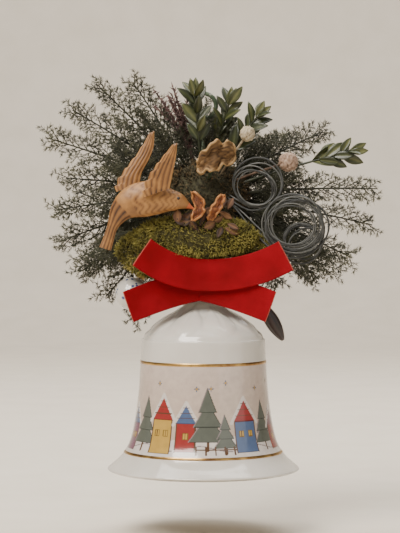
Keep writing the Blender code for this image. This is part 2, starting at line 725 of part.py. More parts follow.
def main():
    for old in list(bpy.data.objects):
        bpy.data.objects.remove(old)

    porcelain = material("porcelain", (0.80, 0.78, 0.74), 0.12)
    brass = material("brass", (0.72, 0.52, 0.22), 0.3, 1.0)
    wood = material("clapper_wood", (0.55, 0.36, 0.18), 0.5)
    red_cord = material("red_cord", (0.45, 0.01, 0.02), 0.7)
    ribbon = material("red_ribbon", (0.42, 0.0, 0.01), 0.75)
    steel = material("florist_wire", (0.16, 0.2, 0.14), 0.45, 0.8)
    foam = material("floral_foam", (0.12, 0.16, 0.07), 0.95)
    moss = material("moss", (0.16, 0.17, 0.05), 0.95)
    needles = material("juniper", (0.06, 0.085, 0.045), 0.7)
    leaves = material("boxwood", (0.05, 0.09, 0.03), 0.4)
    heather = material("heather", (0.14, 0.09, 0.09), 0.8)

    card = material("bow_card", (0.45, 0.4, 0.32), 0.9)
    vine = material("vine", (0.16, 0.17, 0.17), 0.6)
    carved_wood = material("carved_wood", (0.36, 0.19, 0.07), 0.5)
    bark = material("bark", (0.26, 0.16, 0.08), 0.85)
    peel = material("orange_peel", (0.3, 0.1, 0.02), 0.6)
    pink = material("pink_seed", (0.36, 0.24, 0.2), 0.8)
    cream = material("cream_seed", (0.5, 0.44, 0.32), 0.8)
    pod = material("pod", (0.035, 0.02, 0.02), 0.35)

    build_bell(porcelain)
    build_pin(brass)
    build_clapper(brass, wood)
    build_cord(red_cord)
    build_wire(steel)
    shank_foot = Vector((0, 0, HOOK_EYE_BAR_Z))
    shank_top = Vector((0, 0, CORE_CENTRE.z + CORE_RADII.z + 2))
    holes = [(shank_foot, shank_top, WIRE_RADIUS + CLEARANCE)]
    build_sprigs(JUNIPER, needles, 2.2, 0.25, holes)
    build_sprigs(BOXWOOD, leaves, 2.4, 0.35, holes)
    build_sprigs(LONG_BOXWOOD, leaves, 2.4, 0.55, holes)
    build_sprigs(HEATHER, heather, 2.6, 0.25, holes)
    build_bow(ribbon, card, steel, holes)
    build_vines(vine, holes)
    build_seed_balls(pink, cream, holes)
    build_bauble(porcelain, brass, steel, holes)
    build_dove(carved_wood, steel, holes)
    build_bark_and_peels(bark, peel, steel, holes)
    build_pod(pod, holes)
    build_core(foam, holes)
    build_moss(moss)


main()
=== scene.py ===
import math
import random

import bpy
import numpy as np
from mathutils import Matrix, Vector, noise


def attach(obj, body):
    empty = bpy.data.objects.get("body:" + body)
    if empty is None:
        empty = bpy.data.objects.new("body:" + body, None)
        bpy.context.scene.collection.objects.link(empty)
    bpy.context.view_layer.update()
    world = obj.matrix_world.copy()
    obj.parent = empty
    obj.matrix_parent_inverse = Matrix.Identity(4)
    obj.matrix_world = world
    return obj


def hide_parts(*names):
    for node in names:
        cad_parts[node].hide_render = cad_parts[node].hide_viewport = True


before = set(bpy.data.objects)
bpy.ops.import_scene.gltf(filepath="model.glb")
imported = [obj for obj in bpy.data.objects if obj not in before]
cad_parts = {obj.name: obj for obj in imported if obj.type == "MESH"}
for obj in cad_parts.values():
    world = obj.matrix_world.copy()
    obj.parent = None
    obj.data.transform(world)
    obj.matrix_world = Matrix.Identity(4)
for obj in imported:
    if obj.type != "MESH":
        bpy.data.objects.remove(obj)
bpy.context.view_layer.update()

# The looks of a hanging Christmas bell. Shapes are worked out in millimetres above the bell's lip,
# as in the CAD, and `placed` turns them into metres below the hanging point.
MM = 0.001
HANG = Vector((0.0, 3.0, 147.0))
FULL_TURN = 2 * math.pi
FRONT = Vector((0, -1, 0))

OUTER_PROFILE = [
    (35.8, 0.0), (37.6, 0.9), (36.2, 2.4), (33.2, 5.0), (30.6, 8.2), (28.4, 13.0), (26.6, 21.5),
    (25.3, 32.0), (24.6, 43.0), (24.2, 51.0), (23.6, 52.0), (22.4, 54.6), (19.8, 57.6),
    (16.0, 60.4), (11.4, 62.9), (8.0, 65.2), (5.6, 67.6), (5.4, 70.1), (4.9, 70.5),
]
INNER_PROFILE = [
    (1.3, 70.5), (1.3, 61.4), (4.0, 61.4), (9.0, 60.2), (14.4, 57.8), (18.4, 55.0), (21.0, 51.6),
    (21.9, 48.0), (22.3, 40.0), (23.2, 28.0), (24.8, 18.0), (27.4, 10.0), (31.2, 4.4),
    (33.0, 1.8), (33.8, 0.0),
]
BAND_FOOT, BAND_TOP = 8.4, 42.6
# The picture is told twice round, laid flat at this radius.
PICTURE_RADIUS = 26.0
GOLD_LINES = (("bell_gold_line_top", 42.3, 43.6), ("bell_gold_line_foot", 7.4, 8.6))
CROWN_RING_Z, CROWN_RING_RADIUS, CROWN_RING_WIRE = 73.0, 5.0, 1.4
RIBBON_WIDTH = 12.4

CORE_CENTRE = Vector((0.0, 5.0, 108.0))
CORE_RADII = Vector((17.0, 11.0, 12.5))
STEM_DEPTH = 5.0
# Juniper sprigs: angle in degrees round from the right, length, and y at the root and the tip.
JUNIPER = {
    "01": (160, 65, 2, -4), "02": (147, 62, 8, 12), "03": (134, 60, 1, -3), "04": (122, 53, 9, 13),
    "05": (173, 55, 9, 14), "06": (186, 58, 1, -7), "07": (198, 60, 9, 8), "08": (212, 57, 2, -2),
    "09": (226, 56, 9, 16), "10": (241, 58, 10, 27), "11": (28, 54, 9, 14), "12": (2, 68, 2, -3),
    "13": (-10, 68, 9, 10), "14": (-23, 63, 2, -4), "15": (-36, 57, 9, 13), "16": (-49, 48, 10, 26),
    "17": (150, 42, 13, 31), "18": (90, 36, 13, 30), "19": (34, 42, 13, 32), "20": (208, 42, 13, 32),
    "21": (-26, 42, 13, 33),
}
# Boxwood sprigs: as for juniper, then the share of the stem that is bare.
BOXWOOD = {
    "1": (95, 44, -3, -9, 0.4), "2": (74, 42, 4, -1, 0.4), "3": (55, 42, -1, -5, 0.4),
    "4": (16, 68, 4, 1, 0.6),
}
# The heather sprig: as for juniper.
HEATHER = (107, 43, 5, 6)
# Vine coils: centre in x and z, radius, turns, first and last y, and where they start.
VINES = {
    "1": ((20.5, 111.5), 10.6, 2.6, -7.5, -10.4, Vector((6, -1, 110))),
    "2": ((35.0, 96.4), 12.8, 4.6, -12.0, -16.4, Vector((8, -1, 105.8))),
    "3": ((38.0, 90.0), 8.5, 2.4, -6.5, -9.4, Vector((5, -1.5, 101.5))),
}
DOVE_Y = -17.0
BAUBLE_CENTRE, BAUBLE_RADIUS = Vector((-28.0, -1.0, 69.4)), 6.5
POD_PATH = (Vector((2.5, 8, 100.5)), Vector((14.5, 10.5, 80)), Vector((32, 19.5, 50)))

# Seed balls: centre, radius, inner end of the stalk, material, slot and number of spines.
SEED_BALLS = {
    "pink_seed_ball": (
        Vector((33, -6.5, 120.7)), 3.8, Vector((8, -1, 112)), "pink_seed_skin", "pink_seed", 160),
    "cream_seed_ball": (
        Vector((17, -9, 131.5)), 3.0, Vector((5.5, -1.5, 114)), "cream_seed_skin", "cream_seed", 60),
}

# Curls: node, centreline, direction across, width, thickness, ruffle, material, slot and seed.
CURLS = {
    "bark_shell": (
        "bark_curl", lambda t: Vector((5 + 7.5 * t, -13.5 + 4 * t * t, 123 + 2.5 * t - 1.5 * t * t)),
        Vector((0, -0.33, 0.94)), 11.0, 0.9, 1.6, "dry_bark", "bark", 2.0),
    "orange_peel_curl_1": (
        "orange_peel_1", lambda t: Vector((-1.5 - 2.6 * t * t, -20.0 - 2.0 * t, 103.5 + 5.5 * t)),
        Vector((0.93, -0.37, 0)), 4.4, 0.8, 0.7, "dried_peel", "orange_peel", 5.0),
    "orange_peel_curl_2": (
        "orange_peel_2", lambda t: Vector((5.0 + 2.5 * t, -18.5 + 2.0 * t * t, 103 + 5.0 * t)),
        Vector((0.93, 0.37, 0)), 4.0, 0.8, 0.7, "dried_peel", "orange_peel", 8.0),
}

FLOOR_Z = -24.0
# The backdrop bends up far enough away that a camera on the far side stays in front of it.
BEND_START, BEND_RADIUS, BACKDROP_TOP = 1050.0, 450.0, 2600.0
CAMERA_AIM = (-1.3, 0, 80)
CAMERA_ELEVATION, CAMERA_DISTANCE, CAMERA_LENS = math.radians(1.5), 0.8, 138
# Lights: place in metres, aim in millimetres above the lip, size, energy and colour.
LIGHTS = {
    "key_light": ((-0.34, -0.50, 0.56), (0, 0, 80), 0.5, 14.0, (1.0, 0.94, 0.86)),
    "fill_light": ((0.6, -0.5, 0.1), (0, 0, 80), 0.7, 1.3, (1.0, 0.97, 0.94)),
    "back_light": ((0.1, 0.45, 0.6), (0, 0, 80), 0.6, 5.0, (1.0, 0.98, 0.96)),
    "backdrop_light": ((0.0, 0.40, 1.15), (0, 1500, 250), 1.2, 26.0, (1.0, 0.97, 0.93)),
}

# Plant materials: colours from base to tip, roughness, speckle scale and bump in millimetres.
PLANT_LOOKS = {
    "juniper_needles": (
        [(0.0, (0.013, 0.013, 0.007)), (0.4, (0.038, 0.041, 0.021)),
         (0.8, (0.09, 0.087, 0.045)), (1.0, (0.16, 0.13, 0.065))], 0.7, 260, 0.05),
    "boxwood_leaf": (
        [(0.0, (0.012, 0.016, 0.006)), (0.45, (0.034, 0.042, 0.013)), (0.9, (0.11, 0.115, 0.038))],
        0.38, 300, 0.05),
    "heather_bloom": (
        [(0.0, (0.04, 0.024, 0.022)), (0.5, (0.11, 0.062, 0.06)), (1.0, (0.23, 0.155, 0.13))],
        0.85, 300, 0.05),
    "moss_strands": (
        [(0.0, (0.03, 0.026, 0.007)), (0.35, (0.085, 0.075, 0.016)),
         (0.7, (0.21, 0.185, 0.035)), (1.0, (0.36, 0.30, 0.08))], 0.9, 220, 0.05),
    "dry_litter": (
        [(0.0, (0.012, 0.009, 0.005)), (0.4, (0.04, 0.032, 0.016)),
         (0.75, (0.10, 0.07, 0.03)), (1.0, (0.2, 0.12, 0.05))], 0.9, 220, 0.05),
    "vine_bark": (
        [(0.2, (0.014, 0.015, 0.014)), (0.5, (0.045, 0.047, 0.044)), (0.9, (0.16, 0.16, 0.148))],
        0.6, 350, 0.08),
    "pink_seed_skin": (
        [(0.1, (0.07, 0.042, 0.026)), (0.4, (0.25, 0.16, 0.11)), (0.9, (0.42, 0.31, 0.23))],
        0.8, 400, 0.08),
    "cream_seed_skin": (
        [(0.1, (0.13, 0.09, 0.05)), (0.4, (0.36, 0.29, 0.185)), (0.9, (0.5, 0.44, 0.32))],
        0.8, 400, 0.08),
    "pod_skin": (
        [(0.1, (0.008, 0.005, 0.005)), (0.6, (0.04, 0.018, 0.018)), (1.0, (0.1, 0.05, 0.045))],
        0.35, 250, 0.1),
}

# Carved and dried materials: dark, middle and light colour, roughness and bump in millimetres.
CARVED_LOOKS = {
    "carved_dove_wood": ((0.026, 0.009, 0.003), (0.17, 0.07, 0.018), (0.36, 0.175, 0.05), 0.5, 0.12),
    "dove_beak_paint": ((0.2, 0.03, 0.01), (0.45, 0.09, 0.03), (0.55, 0.16, 0.06), 0.4, 0.12),
    "dove_eye_paint": ((0.006, 0.004, 0.004), (0.012, 0.01, 0.01), (0.03, 0.02, 0.02), 0.25, 0.02),
    "dry_bark": ((0.035, 0.017, 0.007), (0.15, 0.08, 0.03), (0.34, 0.21, 0.09), 0.85, 0.3),
    "dried_peel": ((0.045, 0.012, 0.005), (0.18, 0.05, 0.011), (0.34, 0.14, 0.04), 0.6, 0.2),
    "dry_leaf": ((0.020, 0.009, 0.004), (0.075, 0.030, 0.011), (0.17, 0.080, 0.030), 0.75, 0.2),
}


def placed(point):
    """A point in millimetres above the lip, in the frame's metres."""
    return (Vector(point) - HANG) * MM


# ---- meshes


class Shape:
    """Points, faces and one shade value per point, gathered before they become a mesh."""

    def __init__(self):
        self.points = []
        self.faces = []
        self.shades = []

    def add(self, points, faces, shades):
        start = len(self.points)
        self.points.extend(points)
        self.faces.extend([tuple(start + i for i in face) for face in faces])
        self.shades.extend(shades)


def make_piece(name, shape, material, body="swag", replaces=(), smooth=True):
    """Turns a gathered shape into an object that rides on a body."""
    mesh = bpy.data.meshes.new(name)
    mesh.from_pydata([placed(point) for point in shape.points], [], shape.faces)
    if smooth:
        mesh.shade_smooth()
    layer = mesh.attributes.new("shade", "FLOAT", "POINT")
    layer.data.foreach_set("value", np.array(shape.shades, np.float32))
    mesh.materials.append(material)
    piece = bpy.data.objects.new(name, mesh)
    bpy.context.scene.collection.objects.link(piece)
    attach(piece, body)
    if replaces:
        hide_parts(*replaces)
    return piece


def add_modifier(piece, kind, **settings):
    """Adds one modifier with its settings."""
    modifier = piece.modifiers.new(kind.lower(), kind)
    for key, value in settings.items():
        setattr(modifier, key, value)


def frame_along(direction):
    """Two unit vectors square to a direction and to each other."""
    side = direction.orthogonal().normalized()
    return side, direction.cross(side).normalized()


def turned(first, second, angle):
    """A direction between two square ones, turned from the first towards the second."""
    return first * math.cos(angle) + second * math.sin(angle)


def on_sphere(tilt, around):
    """A unit vector, from its angles down from the top and round the vertical."""
    return Vector((math.sin(tilt) * math.cos(around), math.sin(tilt) * math.sin(around), math.cos(tilt)))


def over_sphere(steps_down, steps_round, value_at):
    """Rows of values over a sphere, from a function of the unit vector at each grid point."""
    rows = []
    for i in range(steps_down + 1):
        tilt = math.pi * i / steps_down
        turns = [FULL_TURN * k / steps_round for k in range(steps_round + 1)]
        rows.append([value_at(on_sphere(tilt, around)) for around in turns])
    return rows


def scaled(out, radii):
    """A direction stretched to an ellipsoid's radii."""
    return Vector((out.x * radii.x, out.y * radii.y, out.z * radii.z))


def add_spike(shape, base, tip, radius, foot_shade, tip_shade):
    """A needle: a slim three-sided pyramid."""
    side, up = frame_along((tip - base).normalized())
    corners = []
    for k in range(3):
        corners.append(base + turned(side, up, FULL_TURN * k / 3) * radius)
    shape.add(corners + [tip], [(0, 1, 3), (1, 2, 3), (2, 0, 3)], [foot_shade] * 3 + [tip_shade])


def add_tube(shape, points, radii, shade=0.3, sides=6):
    """A round tube with a radius at every point and closed ends."""
    count = len(points)
    side = (points[1] - points[0]).normalized().orthogonal().normalized()
    rows = []
    for i, point in enumerate(points):
        tangent = (points[min(count - 1, i + 1)] - points[max(0, i - 1)]).normalized()
        side = (side - tangent * side.dot(tangent)).normalized()
        up = tangent.cross(side)
        for k in range(sides):
            rows.append(point + turned(side, up, FULL_TURN * k / sides) * radii[i])
    faces = []
    for i in range(count - 1):
        for k in range(sides):
            a, b = i * sides + k, i * sides + (k + 1) % sides
            faces.append((a, b, b + sides, a + sides))
    faces.append(tuple(range(sides))[::-1])
    faces.append(tuple(range((count - 1) * sides, count * sides)))
    shape.add(rows, faces, [shade] * len(rows))


def add_grid(shape, rows, shades):
    """A sheet through rows of points."""
    width = len(rows[0])
    faces = []
    for i in range(len(rows) - 1):
        for k in range(width - 1):
            a = i * width + k
            faces.append((a, a + 1, a + width + 1, a + width))
    flat_points = [point for row in rows for point in row]
    flat_shades = [shade for row in shades for shade in row]
    shape.add(flat_points, faces, flat_shades)


def add_leaf(shape, base, direction, facing, length, width, shade):
    """A boxwood leaf: a pointed oval blade, creased along its midrib and curled at the tip."""
    across = direction.cross(facing).normalized()
    normal = across.cross(direction).normalized()
    rows, shades = [], []
    for i in range(9):
        t = i / 8
        half = width / 2 * max(0.06, math.sin(math.pi * min(1, t * 0.96 + 0.04) ** 1.15)) ** 0.8
        centre = base + direction * length * t - normal * length * 0.14 * t * t
        row = [centre + across * half * s + normal * abs(s) * half * 0.4 for s in (-1, -0.5, 0, 0.5, 1)]
        rows.append(row)
        shades.append([shade - 0.1, shade, shade + 0.4, shade, shade - 0.1])
    add_grid(shape, rows, shades)


def revolve(profile, segments, closed, bump=None):
    """Turns a profile round the bell's axis. `bump` gives a height for each radius, z and angle."""
    points = []
    for radius, z in profile:
        for k in range(segments):
            angle = FULL_TURN * k / segments
            lift = bump(radius, z, angle) if bump else 0.0
            points.append(Vector((math.sin(angle) * radius, -math.cos(angle) * radius, z + lift)))
    faces = []
    rows = len(profile) if closed else len(profile) - 1
    for i in range(rows):
        low, high = i * segments, ((i + 1) % len(profile)) * segments
        for k in range(segments):
            n = (k + 1) % segments
            faces.append((low + k, low + n, high + n, high + k))
    shape = Shape()
    shape.add(points, faces, [0.5] * len(points))
    return shape


def smooth_profile(profile, steps):
    """A smooth line through a profile's points, with `steps` points for each span."""
    line = []
    count = len(profile)
    for i in range(count - 1):
        p0, p1 = profile[max(0, i - 1)], profile[i]
        p2, p3 = profile[i + 1], profile[min(count - 1, i + 2)]
        for k in range(steps):
            t = k / steps
            line.append(tuple(catmull(p0[n], p1[n], p2[n], p3[n], t) for n in (0, 1)))
    line.append(profile[-1])
    return line


def catmull(a, b, c, d, t):
    """One coordinate on a Catmull-Rom span."""
    return 0.5 * (
        2 * b + (c - a) * t + (2 * a - 5 * b + 4 * c - d) * t * t + (3 * b - a - 3 * c + d) * t ** 3
    )


def quadratic(path, t):
    """A point on a path of start, pull and end."""
    start, bend, end = path
    return start * (1 - t) ** 2 + bend * 2 * t * (1 - t) + end * t * t


def sprig_path(angle, length, root_y, tip_y):
    """Start, pull and end of a sprig's centreline, as in the CAD."""
    turn = math.radians(angle)
    out = Vector((math.cos(turn), 0, math.sin(turn)))
    depth = (root_y - CORE_CENTRE.y) / CORE_RADII.y
    rim = math.sqrt(1 - depth * depth)
    surface = rim / math.hypot(out.x / CORE_RADII.x, out.z / CORE_RADII.z)
    centre = Vector((CORE_CENTRE.x, root_y, CORE_CENTRE.z))
    start = centre + out * (surface - STEM_DEPTH)
    end = Vector((CORE_CENTRE.x, tip_y, CORE_CENTRE.z)) + out * length
    bend = centre.lerp(end, 0.55)
    bend.y = root_y
    bend.z += 2.0
    return start, bend, end


# ---- materials


class Nodes:
    """A material's node tree, with short ways to add the nodes that these materials share."""

    def __init__(self, name, roughness, metallic=0.0):
        self.material = bpy.data.materials.new(name)
        self.material.use_nodes = True
        self.tree = self.material.node_tree
        self.shader = self.tree.nodes["Principled BSDF"]
        self.give("Roughness", roughness)
        self.give("Metallic", metallic)

    def add(self, kind, **settings):
        node = self.tree.nodes.new(kind)
        for key, value in settings.items():
            setattr(node, key, value)
        return node

    def link(self, source, target):
        self.tree.links.new(source, target)

    def coordinates(self):
        return self.add("ShaderNodeTexCoord").outputs["Object"]

    def noise(self, scale, detail=4.0, distortion=0.0):
        node = self.add("ShaderNodeTexNoise")
        node.inputs["Scale"].default_value = scale
        node.inputs["Detail"].default_value = detail
        node.inputs["Distortion"].default_value = distortion
        self.link(self.coordinates(), node.inputs["Vector"])
        return node.outputs["Fac"]

    def cells(self, scale):
        node = self.add("ShaderNodeTexVoronoi")
        node.inputs["Scale"].default_value = scale
        self.link(self.coordinates(), node.inputs["Vector"])
        return node.outputs["Distance"]

    def wave(self, direction, scale, distortion=0.0):
        node = self.add("ShaderNodeTexWave", bands_direction=direction)
        node.inputs["Scale"].default_value = scale
        node.inputs["Distortion"].default_value = distortion
        self.link(self.coordinates(), node.inputs["Vector"])
        return node.outputs["Fac"]

    def ramp(self, factor, stops):
        node = self.add("ShaderNodeValToRGB")
        elements = node.color_ramp.elements
        while len(elements) < len(stops):
            elements.new(0.5)
        for element, (position, color) in zip(elements, stops):
            element.position = position
            element.color = (*color, 1.0)
        self.link(factor, node.inputs["Fac"])
        return node.outputs["Color"]

    def mix(self, factor, first, second, blend_type="MIX"):
        node = self.add("ShaderNodeMix", data_type="RGBA", blend_type=blend_type)
        if isinstance(factor, float):
            node.inputs["Factor"].default_value = factor
        else:
            self.link(factor, node.inputs["Factor"])
        self.link(first, node.inputs["A"])
        self.link(second, node.inputs["B"])
        return node.outputs["Result"]

    def math(self, operation, first, second=None):
        node = self.add("ShaderNodeMath", operation=operation)
        for socket, value in zip(node.inputs, (first, second)):
            if value is None:
                continue
            if isinstance(value, (int, float)):
                socket.default_value = value
            else:
                self.link(value, socket)
        return node.outputs["Value"]

    def shade(self):
        return self.add("ShaderNodeAttribute", attribute_name="shade").outputs["Fac"]

    def mottled_shade(self, speckle, strength):
        swing = self.math("MULTIPLY", self.math("SUBTRACT", speckle, 0.5), strength)
        return self.math("ADD", self.shade(), swing)

    def give(self, name, value):
        self.shader.inputs[name].default_value = value

    def glaze(self):
        self.give("Coat Weight", 0.6)
        self.give("Coat Roughness", 0.06)

    def color(self, output):
        self.link(output, self.shader.inputs["Base Color"])

    def roughness_from(self, factor, low, high):
        node = self.add("ShaderNodeMapRange")
        node.inputs["To Min"].default_value = low
        node.inputs["To Max"].default_value = high
        self.link(factor, node.inputs["Value"])
        self.link(node.outputs["Result"], self.shader.inputs["Roughness"])

    def bump(self, height, distance_mm):
        node = self.add("ShaderNodeBump")
        node.inputs["Strength"].default_value = 1.0
        node.inputs["Distance"].default_value = distance_mm * MM
        self.link(height, node.inputs["Height"])
        self.link(node.outputs["Normal"], self.shader.inputs["Normal"])


def shaded_plant(name, stops, roughness, speckle_scale, bump_mm):
    """A plant material: colour runs from base to tip, with mottling and a fine rough surface."""
    nodes = Nodes(name, roughness)
    speckle = nodes.noise(speckle_scale, 3.0)
    nodes.color(nodes.ramp(nodes.mottled_shade(speckle, 0.7), stops))
    nodes.roughness_from(speckle, roughness - 0.12, min(1.0, roughness + 0.1))
    nodes.bump(nodes.noise(speckle_scale * 3, 2.0), bump_mm)
    return nodes.material


def porcelain_material():
    """Glazed porcelain: near white, with a faint warm mottling, pinholes and a clear coat."""
    nodes = Nodes("glazed_porcelain", 0.16)
    cloud = nodes.noise(55, 3.0)
    nodes.color(nodes.ramp(cloud, [(0.3, (0.56, 0.525, 0.47)), (0.7, (0.64, 0.61, 0.56))]))
    nodes.roughness_from(nodes.noise(160, 3.0), 0.1, 0.24)
    nodes.glaze()
    nodes.give("Subsurface Weight", 0.08)
    nodes.give("Subsurface Radius", (0.003, 0.002, 0.0015))
    nodes.bump(nodes.noise(90, 2.0), 0.06)
    return nodes.material


def painted_band_material():
    """The painted picture under the glaze, from the colours stored on the band's points."""
    nodes = Nodes("painted_band", 0.18)
    paint = nodes.add("ShaderNodeAttribute", attribute_name="paint").outputs["Color"]
    strokes = nodes.ramp(nodes.noise(420), [(0.3, (0.86, 0.86, 0.87)), (0.7, (1.0, 1.0, 1.0))])
    nodes.color(nodes.mix(1.0, paint, strokes, "MULTIPLY"))
    nodes.glaze()
    nodes.bump(nodes.noise(300, 2.0), 0.02)
    return nodes.material


def metal_material(name, light, dark, roughness):
    """Worn metal: darker in blotches, with fine scratches."""
    nodes = Nodes(name, roughness, 1.0)
    nodes.color(nodes.ramp(nodes.noise(180), [(0.35, dark), (0.65, light)]))
    nodes.roughness_from(nodes.noise(400), roughness - 0.1, roughness + 0.15)
    nodes.bump(nodes.noise(400), 0.02)
    return nodes.material


def lacquer_wire_material():
    """Florist's wire in dull green lacquer with bare flecks."""
    nodes = Nodes("lacquered_wire", 0.45, 0.3)
    chips = nodes.noise(500)
    stops = [(0.4, (0.05, 0.075, 0.045)), (0.62, (0.09, 0.12, 0.07)), (0.75, (0.3, 0.3, 0.27))]
    nodes.color(nodes.ramp(chips, stops))
    nodes.bump(chips, 0.04)
    return nodes.material


def ribbon_material():
    """Woven red ribbon: a fine cross weave with painted shade in its gaps, a soft sheen and slightly uneven
    dye.
    """
    nodes = Nodes("red_ribbon_cloth", 0.72)
    weave = nodes.math("MULTIPLY", nodes.wave("X", 950, 0.6), nodes.wave("Z", 950, 0.6))
    dye = nodes.ramp(nodes.noise(90), [(0.3, (0.20, 0.0001, 0.0045)), (0.72, (0.31, 0.0003, 0.0085))])
    # Painted shade: darker where the weave sinks into its gaps.
    weave_gap_shade = nodes.ramp(weave, [(0.0, (0.72, 0.66, 0.66)), (0.8, (1.0, 1.0, 1.0))])
    cloth = nodes.mix(1.0, dye, weave_gap_shade, "MULTIPLY")
    cut = nodes.ramp(nodes.shade(), [(0.0, (0.5, 0.16, 0.12)), (0.6, (1.0, 1.0, 1.0))])
    pale = nodes.ramp(nodes.shade(), [(0.0, (0.34, 0.1, 0.07)), (0.5, (0.0, 0.0, 0.0))])
    nodes.color(nodes.mix(1.0, nodes.mix(1.0, cloth, cut, "MULTIPLY"), pale, "ADD"))
    nodes.give("Sheen Weight", 0.1)
    nodes.give("Sheen Roughness", 0.4)
    nodes.give("Sheen Tint", (0.9, 0.05, 0.05, 1.0))
    nodes.give("Specular IOR Level", 0.12)
    nodes.bump(weave, 0.07)
    return nodes.material


def cord_material():
    """Twisted red cord: slanting strands, with painted shade in the grooves between them."""
    nodes = Nodes("red_cord_cloth", 0.75)
    strands = nodes.wave("DIAGONAL", 260)
    # Painted shade: the colour darkens in the grooves where the bump sinks.
    nodes.color(nodes.ramp(strands, [(0.1, (0.18, 0.002, 0.004)), (0.7, (0.5, 0.01, 0.015))]))
    nodes.bump(strands, 0.15)
    return nodes.material


def wood_material(name, light, dark, roughness, stretch):
    """Turned or cut wood with grain along one axis."""
    nodes = Nodes(name, roughness)
    mapping = nodes.add("ShaderNodeMapping")
    mapping.inputs["Scale"].default_value = stretch
    nodes.link(nodes.coordinates(), mapping.inputs["Vector"])
    grain = nodes.add("ShaderNodeTexNoise")
    grain.inputs["Scale"].default_value = 240
    grain.inputs["Detail"].default_value = 6
    nodes.link(mapping.outputs["Vector"], grain.inputs["Vector"])
    nodes.color(nodes.ramp(grain.outputs["Fac"], [(0.35, dark), (0.65, light)]))
    nodes.roughness_from(grain.outputs["Fac"], roughness - 0.08, roughness + 0.12)
    nodes.bump(grain.outputs["Fac"], 0.06)
    return nodes.material


def carved_material(name, dark, middle, light, roughness, bump_mm):
    """Stained carving: dark in the cuts and pale on the worn high parts."""
    nodes = Nodes(name, roughness)
    mottle = nodes.noise(170, 5.0, 0.8)
    worn = nodes.mottled_shade(mottle, 0.8)
    nodes.color(nodes.ramp(worn, [(0.08, dark), (0.42, middle), (0.85, light)]))
    nodes.roughness_from(mottle, roughness - 0.1, roughness + 0.12)
    nodes.bump(nodes.noise(520), bump_mm)
    return nodes.material


def foam_material():
    """Open-celled floral foam, with painted shade in its pores."""
    nodes = Nodes("open_foam", 0.95)
    cells = nodes.cells(900)
    # Painted shade: darkest at the cell centres, where the bump sinks into pits.
    nodes.color(nodes.ramp(cells, [(0.0, (0.012, 0.012, 0.006)), (0.6, (0.05, 0.045, 0.022))]))
    nodes.bump(cells, 0.3)
    return nodes.material


def card_material():
    """Plain fibrous card."""
    nodes = Nodes("plain_card", 0.9)
    fibres = nodes.noise(600, 5.0, 1.0)
    nodes.color(nodes.ramp(fibres, [(0.3, (0.36, 0.31, 0.24)), (0.7, (0.5, 0.45, 0.36))]))
    nodes.bump(fibres, 0.05)
    return nodes.material


def blue_marked_porcelain():
    """White porcelain scattered with small blue painted marks."""
    nodes = Nodes("blue_marked_porcelain", 0.16)
    wobble = nodes.math("ADD", nodes.cells(430), nodes.math("MULTIPLY", nodes.noise(700, 3.0), 0.35))
    nodes.color(nodes.ramp(wobble, [(0.4, (0.04, 0.07, 0.2)), (0.5, (0.56, 0.53, 0.48))]))
    nodes.glaze()
    nodes.bump(nodes.noise(200, 2.0), 0.03)
    return nodes.material


def stage_material():
    """A plain pale matt surface with a very faint tooth."""
    nodes = Nodes("stage_paper", 0.9)
    tooth = nodes.noise(35)
    nodes.color(nodes.ramp(tooth, [(0.3, (0.60, 0.54, 0.45)), (0.7, (0.64, 0.58, 0.49))]))
    nodes.bump(tooth, 0.05)
    return nodes.material


# ---- bell


def dome_bump(radius, z, angle):
    """Sinks the dome between eight long embossed leaves that run down from the crown."""
    along = (radius - 7.6) / 15.2
    if z < 52.6 or z > 66.5 or not 0.0 < along < 1.0:
        return 0.0
    sector = FULL_TURN / 8
    offset = abs((angle % sector) / sector - 0.5)
    half = 0.5 * math.sin(math.pi * along ** 1.2) ** 0.6
    leaf = max(0.0, 1 - offset / half) ** 0.45 if half > 0 else 0.0
    midrib = 0.25 * max(0.0, 1 - offset * 14)
    return -1.5 * math.sin(math.pi * along) ** 0.5 * (1 - leaf + midrib)


def build_bell(porcelain):
    """The glazed shell with its embossed dome and cast crown ring."""
    outer = smooth_profile(OUTER_PROFILE, 5)
    inner = smooth_profile(INNER_PROFILE[3:], 3)
    profile = outer + INNER_PROFILE[:3] + inner
    shape = revolve(profile, 160, True, dome_bump)
    ring = []
    for k in range(49):
        angle = FULL_TURN * k / 48
        x, z = CROWN_RING_RADIUS * math.cos(angle), CROWN_RING_RADIUS * math.sin(angle)
        ring.append(Vector((x, 0, CROWN_RING_Z + z)))
    add_tube(shape, ring, [CROWN_RING_WIRE] * len(ring), 0.5, 14)
    make_piece("bell_glazed_shell", shape, porcelain, "bell", ["bell_shell"])


def radius_at(z):
    """The bell's outer radius at a height on its body."""
    line = smooth_profile(OUTER_PROFILE[1:10], 6)
    heights = [point[1] for point in line]
    return float(np.interp(z, heights, [point[0] for point in line]))


SKY = (0.50, 0.40, 0.33)
SNOW = (0.60, 0.55, 0.51)
RED = (0.27, 0.028, 0.024)
BLUE = (0.075, 0.115, 0.22)
YELLOW = (0.46, 0.29, 0.06)
BROWN = (0.09, 0.045, 0.022)
FIR = (0.10, 0.11, 0.09)
PLUM = (0.16, 0.05, 0.10)
GREY = (0.22, 0.18, 0.18)


def inside(polygon, u, z):
    """Which grid points lie in a polygon."""
    result = np.zeros(u.shape, bool)
    for i, (u0, z0) in enumerate(polygon):
        u1, z1 = polygon[i - 1]
        if z0 == z1:
            continue
        crosses = ((z0 > z) != (z1 > z)) & (u < (u1 - u0) * (z - z0) / (z1 - z0) + u0)
        result ^= crosses
    return result


def near_line(points, u, z, half_width):
    """Which grid points lie close to a bent line."""
    result = np.zeros(u.shape, bool)
    for (u0, z0), (u1, z1) in zip(points, points[1:]):
        length_squared = (u1 - u0) ** 2 + (z1 - z0) ** 2
        t = np.clip(((u - u0) * (u1 - u0) + (z - z0) * (z1 - z0)) / length_squared, 0, 1)
        result |= np.hypot(u - u0 - t * (u1 - u0), z - z0 - t * (z1 - z0)) < half_width
    return result


